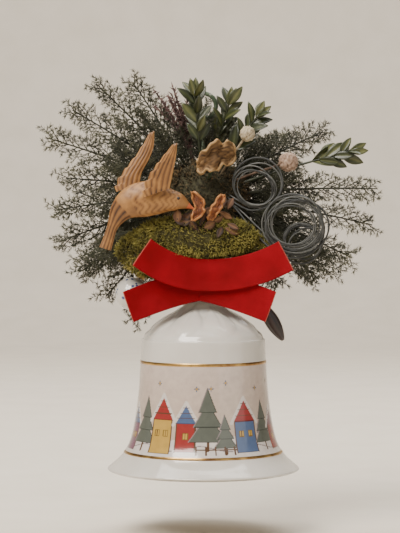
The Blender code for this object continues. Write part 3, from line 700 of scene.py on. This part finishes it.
def house(left, foot, width, wall, roof, wall_color, roof_color, windows):
    """A cottage: wall, pitched roof with snow, and lit windows."""
    right, eaves = left + width, foot + wall
    ridge = (left + width / 2, eaves + roof)
    shapes = [
        ("polygon", [(left, foot), (right, foot), (right, eaves), (left, eaves)], wall_color),
        ("polygon", [(left - 1, eaves), (right + 1, eaves), ridge], roof_color),
        ("line", [(left - 1.4, eaves - 0.6), ridge, (right + 1.4, eaves - 0.6)], 0.6, SNOW),
        ("line", [(left, foot), (left, eaves)], 0.25, BROWN),
        ("line", [(right, foot), (right, eaves)], 0.25, BROWN),
    ]
    for course in (0.25, 0.5, 0.75):
        half = (width / 2 + 1) * (1 - course)
        z = eaves + roof * course
        shapes.append(("line", [(ridge[0] - half, z), (ridge[0] + half, z)], 0.13, BROWN))
    for share, height in windows:
        u = left + width * share
        z = foot + wall * height
        frame_box = [(u - 0.9, z - 1.1), (u + 0.9, z - 1.1), (u + 0.9, z + 1.1), (u - 0.9, z + 1.1)]
        shapes.append(("polygon", frame_box, YELLOW))
        shapes.append(("line", [(u, z - 1.1), (u, z + 1.1)], 0.15, BROWN))
    return shapes


def fir_tree(u, foot, height, color):
    """A fir of three tiers with snow on its edges."""
    shapes = [("line", [(u, foot - 0.5), (u, foot + height * 0.2)], 0.4, BROWN)]
    for low, high, half in ((0.12, 0.58, 0.30), (0.36, 0.78, 0.23), (0.6, 1.0, 0.15)):
        corners = [(u - height * half, foot + height * low), (u + height * half, foot + height * low)]
        top = (u, foot + height * high)
        shapes.append(("polygon", corners + [top], color))
        shapes.append(("line", [corners[0], top], 0.18, GREY))
    return shapes


def star(u, z, size):
    """A small four-pointed star."""
    return [
        ("line", [(u - size, z), (u + size, z)], 0.2, BLUE),
        ("line", [(u, z - size), (u, z + size)], 0.2, BLUE),
        ("line", [(u - size * 0.5, z - size * 0.5), (u + size * 0.5, z + size * 0.5)], 0.16, YELLOW),
        ("line", [(u - size * 0.5, z + size * 0.5), (u + size * 0.5, z - size * 0.5)], 0.16, YELLOW),
    ]


def village():
    """A generic winter village, as shapes in order of painting."""
    shapes = []
    for u in (-35.5, -18.8, -2.6, 3.0, 9.0, 23.2, 33.0, 38.0):
        shapes += star(u, 37.8 - 4.0 * abs(math.sin(u * 1.7)), 0.9)
    for u, height in ((-0.5, 9.0), (18.4, 8.5), (25.2, 11), (31.5, 10), (37.6, 9)):
        shapes += fir_tree(u, 15.5, height, GREY)
    shapes += house(-37.0, 9.8, 7.0, 10.0, 7.5, PLUM, BLUE, [(0.3, 0.55), (0.7, 0.55)])
    shapes += fir_tree(-25.0, 10.6, 20, FIR)
    shapes += house(-20.5, 9.6, 8.4, 12.5, 9.5, YELLOW, RED, [(0.28, 0.6), (0.72, 0.6)])
    shapes += house(-10.2, 10.4, 7.2, 10.5, 8.0, RED, BLUE, [(0.5, 0.55)])
    shapes += fir_tree(1.6, 11.4, 23, FIR)
    shapes += fir_tree(8.0, 10.2, 14, FIR)
    shapes += house(12.0, 10.0, 9.0, 11.5, 9.0, BLUE, RED, [(0.28, 0.6), (0.72, 0.6)])
    shapes += fir_tree(26.0, 11.0, 18, FIR)
    shapes += house(30.0, 10.2, 6.6, 9.0, 7.0, RED, PLUM, [(0.5, 0.5)])
    for post in range(5):
        u = -2.6 + 3.4 * post
        shapes.append(("line", [(u, 9.4), (u, 12.2)], 0.3, BROWN))
    shapes.append(("line", [(-3.4, 11.2), (11.8, 11.2)], 0.25, BROWN))
    return shapes


def build_band(band_material, gold):
    """The painted picture on the body, told twice round, and the gold lines that frame it."""
    columns, rows = 760, 150
    line = [BAND_FOOT + (BAND_TOP - BAND_FOOT) * i / rows for i in range(rows + 1)]
    profile = [(radius_at(z) + 0.05, z) for z in line]
    shape = revolve(profile, columns, False)
    angles = (np.arange(columns) / columns * FULL_TURN + math.pi) % FULL_TURN - math.pi
    half_turn = (angles + math.pi / 2) % math.pi - math.pi / 2
    u = np.tile(half_turn * PICTURE_RADIUS, rows + 1)
    z = np.repeat(np.array(line), columns)
    paint = np.empty((len(u), 3))
    height = (z - BAND_FOOT) / (BAND_TOP - BAND_FOOT)
    paint[:] = SKY
    paint += (height[:, None] - 0.5) * np.array((0.10, 0.10, 0.12))
    hills = 15.5 + 1.6 * np.sin(u * 0.16 + 0.6) + 0.7 * np.sin(u * 0.47)
    paint[z < hills] = SNOW
    drift = 11.4 + 1.0 * np.sin(u * 0.3 + 2.0)
    paint[(z < drift + 0.35) & (z > drift)] = GREY
    for kind, points, *rest in village():
        if kind == "polygon":
            paint[inside(points, u, z)] = rest[0]
            paint[near_line(points + points[:1], u, z, 0.14)] = np.array(rest[0]) * 0.35
        else:
            paint[near_line(points, u, z, rest[0])] = rest[1]
    piece = make_piece("bell_painted_band", shape, band_material, "bell", ())
    layer = piece.data.attributes.new("paint", "FLOAT_COLOR", "POINT")
    layer.data.foreach_set("color", np.column_stack([paint, np.ones(len(paint))]).ravel())
    for name, low, high in GOLD_LINES:
        edge = [(radius_at(low), low), (radius_at(low) + 0.1, low + 0.15)]
        edge += [(radius_at(high) + 0.1, high - 0.15), (radius_at(high), high)]
        make_piece(name, revolve(edge, 160, False), gold, "bell", ())


# ---- bow


def upper_line(t):
    """The upper ribbon's centreline, as in the CAD."""
    reach, lift = (29.7, 7.7) if t > 0 else (25.7, 9.1)
    x = 2.0 + reach * t
    return Vector((x, -14.3 - 5.5 * abs(t) ** 1.8, 77.0 + lift * abs(t) ** 2.2))


def lower_line(t):
    """The lower ribbon's centreline, as in the CAD."""
    x = -1.5 + 27.5 * t
    return Vector((x, -12.6 - 4.5 * abs(t) ** 2.2, 73.2 - 8.3 * abs(t) ** 1.3))


def build_ribbon(name, line, node, cloth, wave_phase):
    """A strip of ribbon with soft creases near the middle and a slight cup across its width."""
    width, long_steps, cross_steps = RIBBON_WIDTH, 140, 26
    rows, shades, length = [], [], 0.0
    for i in range(long_steps + 1):
        t = -1 + 2 * i / long_steps
        point = line(t)
        along = (line(t + 0.01) - line(t - 0.01)).normalized()
        across = (Vector((0, 0, 1)) - along * along.z).normalized()
        out = across.cross(along).normalized()
        if out.y > 0:
            out = -out
        row, shade_row = [], []
        for k in range(cross_steps + 1):
            s = -1 + 2 * k / cross_steps
            crease = 0.1 * math.sin(5.5 * s + wave_phase) * math.exp(-((t / 0.35) ** 2))
            cup = 0.4 * s * s * abs(t)
            flutter = 0.2 + 0.08 * math.sin(7 * t + 2.2 * s + wave_phase)
            row.append(point + across * s * width / 2 + out * (crease + cup + flutter))
            ragged = 0.5 + 0.5 * math.sin(k * 2.4 + i)
            end_share = min(1.0, (1 - abs(t)) / (0.012 + 0.006 * ragged))
            side_share = min(1.0, (1 - abs(s)) / 0.05)
            shade_row.append(min(end_share, 0.55 + 0.45 * side_share))
        rows.append(row)
        shades.append(shade_row)
        if i:
            length += (point - line(t - 2 / long_steps)).length
    shape = Shape()
    add_grid(shape, rows, shades)
    piece = make_piece(name, shape, cloth, "swag", [node])
    add_modifier(piece, "SOLIDIFY", thickness=0.45 * MM, offset=0.0)


# ---- plants


def build_juniper(name, path, material, seed):
    """A juniper sprig: a stem with feathery side branches that grow shorter towards the tip."""
    dice = random.Random(seed)
    shape = Shape()
    stem = [quadratic(path, i / 12) for i in range(13)]
    add_tube(shape, stem, [0.65 - 0.42 * i / 12 for i in range(13)], 0.12, 6)
    count = 32
    for n in range(count):
        t = 0.14 + 0.84 * (n + dice.random()) / count
        base = quadratic(path, t)
        along = (quadratic(path, min(1, t + 0.02)) - quadratic(path, t - 0.02)).normalized()
        across = along.cross(FRONT).normalized()
        through = across.cross(along)
        roll = dice.uniform(-0.9, 0.9) + (0 if n % 2 else math.pi)
        side = turned(across, through, roll)
        lean = dice.uniform(0.45, 0.95)
        direction = turned(along, side, lean).normalized()
        reach = 14.5 * (1.02 - 0.68 * t) * dice.uniform(0.7, 1.25)
        add_branch(shape, dice, base, direction, reach, along)
    add_branch(shape, dice, stem[-3], (stem[-1] - stem[-3]).normalized(), 7.0, FRONT * 0.2)
    make_piece(name + "_twig", shape, material, "swag", [name], smooth=False)


def random_vector(dice):
    """A random vector with each part between -0.6 and 0.6."""
    return Vector((dice.uniform(-1, 1), dice.uniform(-1, 1), dice.uniform(-1, 1))) * 0.6


def add_branch(shape, dice, base, direction, reach, pull):
    """A side branch that bends along `pull`, with forks to both sides and needles all over."""
    bend = (direction + pull * 0.6 + random_vector(dice) * 0.5).normalized()
    steps = max(4, round(reach / 1.25))
    points = []
    for i in range(steps + 1):
        t = i / steps
        points.append(base + direction * reach * t * (1 - 0.4 * t) + bend * reach * 0.45 * t * t)
    add_tube(shape, [points[0], points[steps // 2], points[-1]], [0.24, 0.17, 0.09], 0.15, 3)
    tone = dice.uniform(-0.2, 0.15)
    for i in range(1, steps + 1):
        heading = (points[i] - points[i - 1]).normalized()
        add_needles(shape, dice, points[i], heading, 3, tone)
        side, _ = frame_along(heading)
        fork = (heading * 0.8 + (side + random_vector(dice)) * (1 if i % 2 else -1)).normalized()
        length = reach * 0.34 * (1.1 - i / steps) + 1.1
        tip = points[i] + fork * length
        add_spike(shape, points[i], tip, 0.13, 0.2 + tone, 0.5 + tone)
        for share in (0.4, 0.7, 1.0):
            add_needles(shape, dice, points[i].lerp(tip, share), fork, 3, tone + 0.1 * share)


def add_needles(shape, dice, point, heading, count, tone):
    """A whorl of needles round a twig."""
    side, up = frame_along(heading)
    start_angle = dice.uniform(0, FULL_TURN)
    for k in range(count):
        out = turned(side, up, start_angle + k * FULL_TURN / count)
        tip = point + (heading * 0.95 + out * 0.75) * dice.uniform(0.9, 1.7)
        add_spike(shape, point, tip, 0.15, 0.25 + tone, 0.75 + tone)


def build_thicket(material):
    """Short dark juniper that fills the space round the core between the long sprigs."""
    dice = random.Random(404)
    shape = Shape()
    planted = 0
    while planted < 210:
        turn = dice.uniform(-0.32 * math.pi, 1.32 * math.pi)
        depth = dice.uniform(-0.3, 0.75)
        out = Vector((math.cos(turn), depth, math.sin(turn))).normalized()
        start = dice.uniform(0.85, 1.9)
        base = CORE_CENTRE + scaled(out, Vector((16, 9, 11))) * start
        reach = dice.uniform(9, 17)
        tip = base + out * reach
        if tip.z < 88 and abs(tip.x) < 36 and tip.y < 30 or tip.y < -10 or tip.z > 142:
            continue
        add_branch(shape, dice, base, (out + random_vector(dice) * 0.6).normalized(), reach, FRONT * 0.1)
        planted += 1
    for n in range(44):
        side = 1 if n % 2 else -1
        base = Vector((side * dice.uniform(20, 36), dice.uniform(0, 12), dice.uniform(86, 97)))
        out = Vector((side * 0.7, dice.uniform(-0.4, 0.2), dice.uniform(-0.9, -0.3))).normalized()
        add_branch(shape, dice, base, out, dice.uniform(15, 23), Vector((side * 0.3, 0, 0.1)))
    for _ in range(34):
        base = Vector((dice.uniform(-26, 26), dice.uniform(14, 19), dice.uniform(88, 95)))
        out = Vector((dice.uniform(-0.5, 0.5), 0.1, -1)).normalized()
        add_branch(shape, dice, base, out, dice.uniform(9, 13), Vector((0, 0.3, 0)))
    make_piece("juniper_thicket", shape, material, "swag", (), smooth=False)


def build_boxwood(name, path, material, seed, bare):
    """A boxwood stem with long pointed leaves in loose pairs towards its tip."""
    dice = random.Random(seed)
    shape = Shape()
    stem = [quadratic(path, i / 14 * 0.9) for i in range(15)]
    add_tube(shape, stem, [0.6 - 0.32 * i / 14 for i in range(15)], 0.1, 6)
    pairs = 6
    for n in range(pairs):
        t = bare + (0.84 - bare) * n / (pairs - 1)
        base = quadratic(path, t)
        along = (quadratic(path, t + 0.02) - quadratic(path, t - 0.02)).normalized()
        across = along.cross(FRONT).normalized()
        through = across.cross(along)
        turn = (n % 2) * math.radians(60) + dice.uniform(-0.4, 0.4)
        for sign in (1, -1):
            side = turned(across, through, turn) * sign
            lean = dice.uniform(0.35, 0.8)
            direction = turned(along, side, lean).normalized()
            facing = (FRONT * 0.7 + along * 0.3 + random_vector(dice) * 0.8).normalized()
            size = dice.uniform(0.8, 1.12) * (1 - 0.12 * n / pairs)
            add_leaf(shape, base, direction, facing, 9.8 * size, 3.9 * size, dice.uniform(0.1, 0.6))
    for sign in (1, -1):
        direction = (along + across * 0.22 * sign + random_vector(dice) * 0.2).normalized()
        add_leaf(shape, stem[-1] - along * 2.5, direction, FRONT, 7.5, 2.9, 0.6)
    piece = make_piece(name + "_leaves", shape, material, "swag", [name])
    add_modifier(piece, "SOLIDIFY", thickness=0.16 * MM, offset=0.0)


def build_heather(material):
    """Heather: several thin stems crowded with tiny bell-like florets."""
    dice = random.Random(77)
    shape = Shape()
    path = sprig_path(*HEATHER)
    for _ in range(16):
        lean = Vector((dice.uniform(-7, 7), dice.uniform(-13, 2), dice.uniform(-9, 2)))
        stalk = [quadratic(path, i / 8) + lean * (i / 8) ** 2 for i in range(9)]
        add_tube(shape, stalk, [0.35] * 5 + [0.22] * 4, 0.1, 4)
        for k in range(46):
            t = 0.35 + 0.65 * k / 45
            i = min(7, int(t * 8))
            base = stalk[i].lerp(stalk[i + 1], t * 8 - i)
            out = random_vector(dice).normalized()
            tone = dice.uniform(0.25, 0.9)
            add_spike(shape, base, base + out * 1.9 + Vector((0, 0, 0.6)), 0.46, tone, tone * 0.6)
    make_piece("heather_florets", shape, material, "swag", ["heather_sprig"], smooth=False)


def build_moss(name, node, centre, radii, strands, material, seed):
    """A mound with a lumpy surface, grown over with short bent strands."""
    dice = random.Random(seed)
    shape = Shape()

    def surface(out):
        lump = 0.9 + 0.1 * noise.noise(out * 3.2 + Vector((seed, 0, 0)))
        return centre + scaled(out, radii) * lump

    add_grid(shape, over_sphere(24, 48, surface), [[0.1] * 49] * 25)
    add_strands(shape, dice, centre, radii * 0.93, strands)
    make_piece(name, shape, material, "swag", [node], smooth=False)


def build_leaf_litter(material):
    """Dry brown leaf flakes lying on the moss, round the curls of peel."""
    dice = random.Random(88)
    shape = Shape()
    for _ in range(26):
        x = dice.uniform(-10, 11)
        z = 94.0 + dice.uniform(0, 8.5)
        y = -14.6 - 2.0 * dice.random() + 0.2 * max(0.0, z - 98)
        heading = Vector((dice.uniform(-1, 1), dice.uniform(-0.3, 0.1), dice.uniform(-0.7, 1))).normalized()
        facing = (FRONT + random_vector(dice) * 0.8).normalized()
        length, width, shade = dice.uniform(4, 6.5), dice.uniform(2.2, 3.6), dice.random() * 0.6
        add_leaf(shape, Vector((x, y, z)), heading, facing, length, width, shade)
    piece = make_piece("moss_leaf_flakes", shape, material, "swag", ())
    add_modifier(piece, "SOLIDIFY", thickness=0.2 * MM, offset=0.0)


def add_strands(shape, dice, centre, radii, strands):
    """Short strands of moss, each bent once, over an ellipsoid."""
    for _ in range(strands):
        out = random_vector(dice).normalized()
        base = centre + scaled(out, radii)
        clump = 0.08 + noise.noise(base * 0.3) * 0.35
        normal = Vector((out.x / radii.x, out.y / radii.y, out.z / radii.z)).normalized()
        lean = (normal + random_vector(dice) * 1.3).normalized()
        droop = (lean + random_vector(dice) * 0.9).normalized()
        length = dice.uniform(0.9, 2.1)
        middle = base + lean * length * 0.6
        tone = 0.45 + clump + dice.uniform(-0.15, 0.15)
        add_spike(shape, base, middle + lean * 0.3, 0.26, tone * 0.5, tone)
        add_spike(shape, middle, middle + droop * length * 0.7, 0.2, tone, tone + 0.3)
        add_spike(shape, middle, middle - droop * length * 0.3 + lean * 0.5, 0.2, tone, tone + 0.2)


def build_vine(number, vine, material):
    """A dried vine: two thin strands that wind into loose rings of changing size."""
    (centre_x, centre_z), radius, turns, first_y, last_y, inner_end = vine
    dice = random.Random(int(number) * 31)
    start = math.atan2(inner_end.z - centre_z, inner_end.x - centre_x)
    shape = Shape()
    for strand, (scale, thickness, extra) in enumerate(((1.0, 0.40, 0.0), (0.93, 0.28, 1.3))):
        phase = dice.uniform(0, 6)
        steps = round(40 * (turns + extra))
        points = [inner_end]
        for k in range(steps + 1):
            share = k / steps
            angle = start + FULL_TURN * (turns + extra) * share * (1 if strand == 0 else 0.97)
            ring = radius * scale * (1.0 - 0.34 * share + 0.11 * math.sin(angle * 0.74 + phase))
            wander_x = 2.4 * noise.noise(Vector((angle * 0.21, phase, 0)))
            wander_z = 2.4 * noise.noise(Vector((angle * 0.21, 0, phase)))
            x = centre_x + wander_x + ring * math.cos(angle)
            z = centre_z + wander_z + ring * 0.92 * math.sin(angle)
            y = first_y + (last_y - first_y) * share + 0.9 * math.sin(angle * 1.3 + phase)
            entry = min(1.0, k / 8)
            points.append(inner_end.lerp(Vector((x, y, z)), 0.12 + 0.88 * entry))
        radii = []
        for i, point in enumerate(points):
            radii.append(thickness * (1 + 0.15 * noise.noise(point * 0.9) - 0.35 * (i / len(points)) ** 3))
        add_tube(shape, points, radii, 0.35 + 0.3 * strand, 7)
    name = f"vine_coil_{number}"
    make_piece(name + "_stem", shape, material, "swag", [name])


def build_seed_ball(name, centre, radius, inner_end, material, spines):
    """A dried seed head, dimpled all over with painted shade in the dimples, on its stalk."""
    shape = Shape()

    def dimple(out):
        return noise.cell(out * 4.1) * 0.04 + noise.noise(out * 5.3) * 0.09

    rows = over_sphere(32, 64, lambda out: centre + out * radius * (0.97 + dimple(out)))
    # Painted shade: the tone follows the dimples, darker where the surface sinks.
    add_grid(shape, rows, over_sphere(32, 64, lambda out: 0.5 + dimple(out) * 4))
    dice = random.Random(len(name))
    for _ in range(spines):
        out = random_vector(dice).normalized()
        base = centre + out * radius * 0.94
        add_spike(shape, base, base + out * 0.55, 0.3, 0.25, 0.75)
    stalk = [inner_end, inner_end.lerp(centre, 0.5) + Vector((0, 0, 0.4)), centre]
    add_tube(shape, stalk, [0.45, 0.45, 0.45], 0.15, 8)
    make_piece(name + "_head", shape, material, "swag", [name])


def build_pod(material):
    """A dark ribbed pod on a long stem, with painted shade in the grooves between its ribs."""
    shape = Shape()
    points, radii = [], []
    for i in range(61):
        t = i / 60
        share = max(0.0, (t - 0.74) / 0.26)
        points.append(quadratic(POD_PATH, t))
        radii.append(0.7 + 2.3 * math.sin(math.pi * share) ** 0.8 if share else 0.7)
    add_tube(shape, points, radii, 0.4, 30)
    # Sinks every sixth point of the swollen part into a groove and gives it painted shade.
    for index in range(len(shape.points)):
        ring, side = divmod(index, 30)
        if ring < 61 and radii[ring] > 0.8 and side % 6 == 0:
            axis_point = points[ring]
            shape.points[index] = axis_point + (shape.points[index] - axis_point) * 0.86
            shape.shades[index] = 0.1
    make_piece("seed_pod_shell", shape, material, "swag", ["seed_pod"])


# ---- dove, bark, peel


DOVE_STATIONS = [
    (-37.6, 87.2, 2.4, 0.7), (-36.2, 91.4, 2.1, 0.8), (-34.6, 96.2, 2.2, 1.3),
    (-31.6, 101.6, 4.4, 2.6), (-27.2, 105.0, 6.2, 3.9), (-21.6, 106.4, 6.8, 4.6),
    (-16.4, 106.3, 5.8, 4.2), (-12.4, 105.8, 4.2, 3.5), (-9.4, 105.3, 3.3, 2.9),
    (-6.8, 104.2, 1.8, 1.7), (-5.1, 103.3, 0.8, 0.8), (-3.6, 102.4, 0.3, 0.3),
]
FRONT_WING = [
    (-18.0, 108.5, 5.2), (-17.2, 113.5, 5.4), (-15.2, 118.5, 4.4), (-13.0, 122.8, 2.8),
    (-10.8, 127.2, 0.9),
]
BACK_WING = [
    (-29.4, 110.5, 4.8), (-28.4, 115.0, 4.8), (-25.4, 120.0, 4.4), (-22.2, 125.4, 3.0),
    (-19.8, 132.2, 0.9),
]


def station_at(stations, share):
    """A smooth value between stations, for a share from 0 to 1 along them."""
    place = share * (len(stations) - 1)
    i = min(len(stations) - 2, int(place))
    near = [stations[max(0, min(len(stations) - 1, i + n))] for n in (-1, 0, 1, 2)]
    return [catmull(*(station[n] for station in near), place - i) for n in range(len(stations[0]))]


def build_dove(carved, beak_material, eye_material):
    """A carved dove with cut feathers, set on its pick."""
    shape, beak = Shape(), Shape()
    rows, shades = [], []
    length_steps, round_steps = 120, 56
    for i in range(length_steps + 1):
        share = i / length_steps
        x, z, high, deep = station_at(DOVE_STATIONS, share)
        ahead = station_at(DOVE_STATIONS, min(1, share + 0.01))
        behind = station_at(DOVE_STATIONS, max(0, share - 0.01))
        along = Vector((ahead[0] - behind[0], 0, ahead[1] - behind[1])).normalized()
        across = Vector((-along.z, 0, along.x))
        row, shade_row = [], []
        for k in range(round_steps + 1):
            angle = FULL_TURN * k / round_steps
            scale, shade = 1.0, 0.62
            if share < 0.3:
                rib = abs(math.sin(angle * 5.0))
                scale = 1 - 0.12 * (1 - rib) ** 3
                shade = 0.05 + 0.5 * rib
            elif 0.36 < share < 0.74:
                scallop = abs(math.sin(share * 62 + 1.2 * math.sin(angle * 7)))
                if abs(math.sin(angle)) > 0.3:
                    scale = 1 - 0.05 * (1 - scallop) ** 2
                    shade = 0.28 + 0.48 * scallop ** 0.6
            middle = Vector((x, DOVE_Y + math.sin(angle) * deep * scale, z))
            row.append(middle + across * high * math.cos(angle) * scale)
            shade_row.append(shade)
        rows.append(row)
        shades.append(shade_row)
    split = round(length_steps * 0.86)
    add_grid(shape, rows[: split + 1], shades[: split + 1])
    shape.add(rows[0][:-1], [tuple(range(round_steps))[::-1]], [0.3] * round_steps)
    add_grid(beak, rows[split:], shades[split:])
    make_piece("dove_carved_body", shape, carved, "swag", ["dove_body"])
    make_piece("dove_beak", beak, beak_material, "swag", ())
    eye = Shape()
    for side in (-1, 1):
        centre = Vector((-9.6, DOVE_Y + side * 2.6, 106.5))
        ring_rows = []
        for i in range(9):
            tilt = math.pi * i / 8
            flat, out = math.sin(tilt), math.cos(tilt) * side
            turns = [FULL_TURN * k / 16 for k in range(17)]
            ring_rows.append([
                centre + 0.62 * Vector((flat * math.cos(a), out, flat * math.sin(a))) for a in turns
            ])
        add_grid(eye, ring_rows, [[0.5] * 17] * 9)
    make_piece("dove_eyes", eye, eye_material, "swag", ())


def build_wing(name, node, stations, root_y, tip_y, carved):
    """A raised wing carved from thin wood: feather grooves along it and a notched rear edge."""
    shape = Shape()
    rows, shades = [], []
    length_steps, round_steps = 60, 64
    for i in range(length_steps + 1):
        t = i / length_steps
        x, z, half = station_at(stations, t)
        centre = Vector((x, root_y + (tip_y - root_y) * t, z))
        notch = 0.84 + 0.26 * ((t * 6) % 1)
        row, shade_row = [], []
        for k in range(round_steps):
            angle = FULL_TURN * k / round_steps
            s = math.cos(angle)
            edge = notch if s < 0 else 1.0
            ridge = abs(math.sin((s * (1.1 - 0.3 * t) + 0.25 * t) * 7.5))
            deep = math.sin(angle) * (0.72 + 0.28 * ridge) * (1.0 - 0.4 * t)
            side = Vector((1, 0, 0.35)) * half * s * edge
            row.append(centre + side + Vector((0, deep, -0.9 * (1 - abs(s)) * t)))
            shade_row.append(0.02 + 0.62 * ridge ** 0.6 + 0.3 * abs(s) ** 6)
        rows.append(row + row[:1])
        shades.append(shade_row + shade_row[:1])
    add_grid(shape, rows, shades)
    ring = tuple(range(round_steps))
    shape.add(rows[0][:-1], [ring], [0.4] * round_steps)
    shape.add(rows[-1][:-1], [ring[::-1]], [0.4] * round_steps)
    make_piece(name, shape, carved, "swag", [node])


def curled_strip(name, node, line, across, width, thickness, ruffle, material, seed):
    """A dried curl of bark or peel: tapered ends, a wavy edge, ruffles and a pale rim."""
    rows, shades = [], []
    for i in range(49):
        t = -1 + i / 24
        point = line(t)
        taper = (1 - 0.72 * t ** 4) * (1 + 0.16 * math.sin(7.3 * t + seed) + 0.08 * math.sin(15 * t))
        row, shade_row = [], []
        for k in range(21):
            s = -1 + k / 10
            wave = noise.noise(Vector((t * 2.6, s * 1.4, seed))) * ruffle * 1.6
            frill = 0.5 * ruffle * math.sin(11 * t + seed) * s * abs(s)
            curl = ruffle * 1.1 * s * s
            row.append(point + across * s * width / 2 * taper + FRONT * (wave + frill + curl))
            rim = max(abs(s), abs(t)) ** 10
            shade_row.append(0.32 + 0.5 * noise.noise(Vector((t * 6, s * 9, seed))) + 0.65 * rim)
        rows.append(row)
        shades.append(shade_row)
    shape = Shape()
    add_grid(shape, rows, shades)
    piece = make_piece(name, shape, material, "swag", [node])
    add_modifier(piece, "SOLIDIFY", thickness=thickness * MM, offset=0.0)


def build_bauble(marked):
    """The small porcelain ball with blue marks."""
    rows = over_sphere(32, 64, lambda out: BAUBLE_CENTRE + BAUBLE_RADIUS * out)
    shape = Shape()
    add_grid(shape, rows, [[0.5] * 65] * 33)
    make_piece("bauble_ball", shape, marked, "swag", ["bauble"])


# ---- stage


def build_floor():
    """A pale floor that sweeps up into a backdrop."""
    sweep = [(-5000.0, FLOOR_Z), (BEND_START, FLOOR_Z)]
    for k in range(1, 13):
        angle = math.pi / 2 * k / 12
        y = BEND_START + BEND_RADIUS * math.sin(angle)
        sweep.append((y, FLOOR_Z + BEND_RADIUS * (1 - math.cos(angle))))
    sweep.append((BEND_START + BEND_RADIUS, BACKDROP_TOP))
    rows = [[Vector((x, y, z)) for x in (-5000.0, -800.0, 0.0, 800.0, 5000.0)] for y, z in sweep]
    shape = Shape()
    add_grid(shape, rows, [[0.5] * 5] * len(rows))
    mesh = bpy.data.meshes.new("stage_floor")
    mesh.from_pydata([placed(point) for point in shape.points], [], shape.faces)
    mesh.shade_smooth()
    mesh.materials.append(stage_material())
    floor = bpy.data.objects.new("stage_floor", mesh)
    bpy.context.scene.collection.objects.link(floor)


def build_lights():
    """Soft area lights and an even pale surround."""
    for name, (position, target, size, energy, color) in LIGHTS.items():
        data = bpy.data.lights.new(name, "AREA")
        data.size = size
        data.energy = energy
        data.color = color
        light = bpy.data.objects.new(name, data)
        light.location = position
        aim = placed(target) - Vector(position)
        light.rotation_euler = aim.to_track_quat("-Z", "Y").to_euler()
        bpy.context.scene.collection.objects.link(light)
    world = bpy.data.worlds.new("soft_sky")
    world.use_nodes = True
    background = world.node_tree.nodes["Background"]
    background.inputs["Color"].default_value = (1.0, 0.97, 0.93, 1.0)
    background.inputs["Strength"].default_value = 0.24
    bpy.context.scene.world = world


def build_camera():
    """The main camera, in front of the ornament and a little above its middle."""
    data = bpy.data.cameras.new("camera")
    data.lens = CAMERA_LENS
    camera = bpy.data.objects.new("camera", data)
    offset = Vector((0, -math.cos(CAMERA_ELEVATION), math.sin(CAMERA_ELEVATION))) * CAMERA_DISTANCE
    camera.location = placed(CAMERA_AIM) + offset
    camera.rotation_euler = (-offset).to_track_quat("-Z", "Y").to_euler()
    bpy.context.scene.collection.objects.link(camera)
    bpy.context.scene.camera = camera


def paint_node(name, material):
    """Gives a CAD node that stays a better material."""
    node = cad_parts[name]
    if not node.material_slots:
        node.data.materials.append(material)
    for material_slot in node.material_slots:
        material_slot.material = material


def main():
    """Builds the stage and then every piece of the ornament."""
    build_floor()
    build_lights()
    build_camera()
    looks = {name: shaded_plant(name, *look) for name, look in PLANT_LOOKS.items()}
    looks |= {name: carved_material(name, *look) for name, look in CARVED_LOOKS.items()}
    gold = metal_material("worn_gold", (0.62, 0.40, 0.14), (0.25, 0.13, 0.05), 0.32)
    brass = metal_material("brass_metal", (0.72, 0.50, 0.20), (0.45, 0.28, 0.09), 0.3)
    wire = lacquer_wire_material()
    cloth = ribbon_material()
    juniper, moss, carved = looks["juniper_needles"], looks["moss_strands"], looks["carved_dove_wood"]

    build_bell(porcelain_material())
    build_band(painted_band_material(), gold)
    for name in ("clapper_pin", "clapper_rod", "clapper_collar", "bauble_cap"):
        paint_node(name, brass)
    turned_wood = wood_material("turned_wood", (0.42, 0.25, 0.11), (0.22, 0.11, 0.045), 0.45, (1, 1, 0.25))
    paint_node("clapper_ball", turned_wood)
    paint_node("bell_cord", cord_material())
    for name in ("hanging_wire", "bow_wire", "dove_pick", "bark_pick", "bauble_wire"):
        paint_node(name, wire)
    paint_node("foam_core", foam_material())
    paint_node("bow_card", card_material())

    build_ribbon("bow_upper_cloth", upper_line, "bow_upper_ribbon", cloth, 0.4)
    build_ribbon("bow_lower_cloth", lower_line, "bow_lower_ribbon", cloth, 2.1)
    for number, spec in JUNIPER.items():
        build_juniper(f"juniper_sprig_{number}", sprig_path(*spec), juniper, int(number) * 7)
    for number, (*spec, bare) in BOXWOOD.items():
        name = f"boxwood_sprig_{number}"
        build_boxwood(name, sprig_path(*spec), looks["boxwood_leaf"], int(number) * 13, bare)
    build_heather(looks["heather_bloom"])
    front_centre, front_radii = Vector((-3, -11.6, 91.5)), Vector((25, 5.2, 8.5))
    build_moss("moss_front_mound", "moss_front", front_centre, front_radii, 6000, moss, 3)
    build_moss("moss_back_mound", "moss_back", Vector((0, 21, 106)), Vector((11, 4, 9)), 1400, moss, 4)
    build_thicket(juniper)
    build_leaf_litter(looks["dry_leaf"])
    litter = Shape()
    add_strands(litter, random.Random(5), CORE_CENTRE, CORE_RADII * 1.03, 4200)
    add_strands(litter, random.Random(9), Vector((0, 12, 85)), Vector((25, 4.5, 8)), 3600)
    make_piece("core_litter", litter, looks["dry_litter"], "swag", (), smooth=False)
    skirt = Shape()
    add_strands(skirt, random.Random(6), Vector((-4, -9.6, 86)), Vector((29, 2.4, 11.5)), 7000)
    make_piece("moss_skirt", skirt, moss, "swag", (), smooth=False)
    for number, spec in VINES.items():
        build_vine(number, spec, looks["vine_bark"])
    for name, (centre, radius, inner_end, look, slot, spines) in SEED_BALLS.items():
        build_seed_ball(name, centre, radius, inner_end, looks[look], spines)
    build_pod(looks["pod_skin"])
    build_bauble(blue_marked_porcelain())
    build_dove(carved, looks["dove_beak_paint"], looks["dove_eye_paint"])
    build_wing("dove_front_feathers", "dove_front_wing", FRONT_WING, -22.6, -25.5, carved)
    build_wing("dove_back_feathers", "dove_back_wing", BACK_WING, -12.5, -11.5, carved)
    for name, (node, line, across, width, thickness, ruffle, look, slot, seed) in CURLS.items():
        curled_strip(name, node, line, across, width, thickness, ruffle, looks[look], seed)


main()
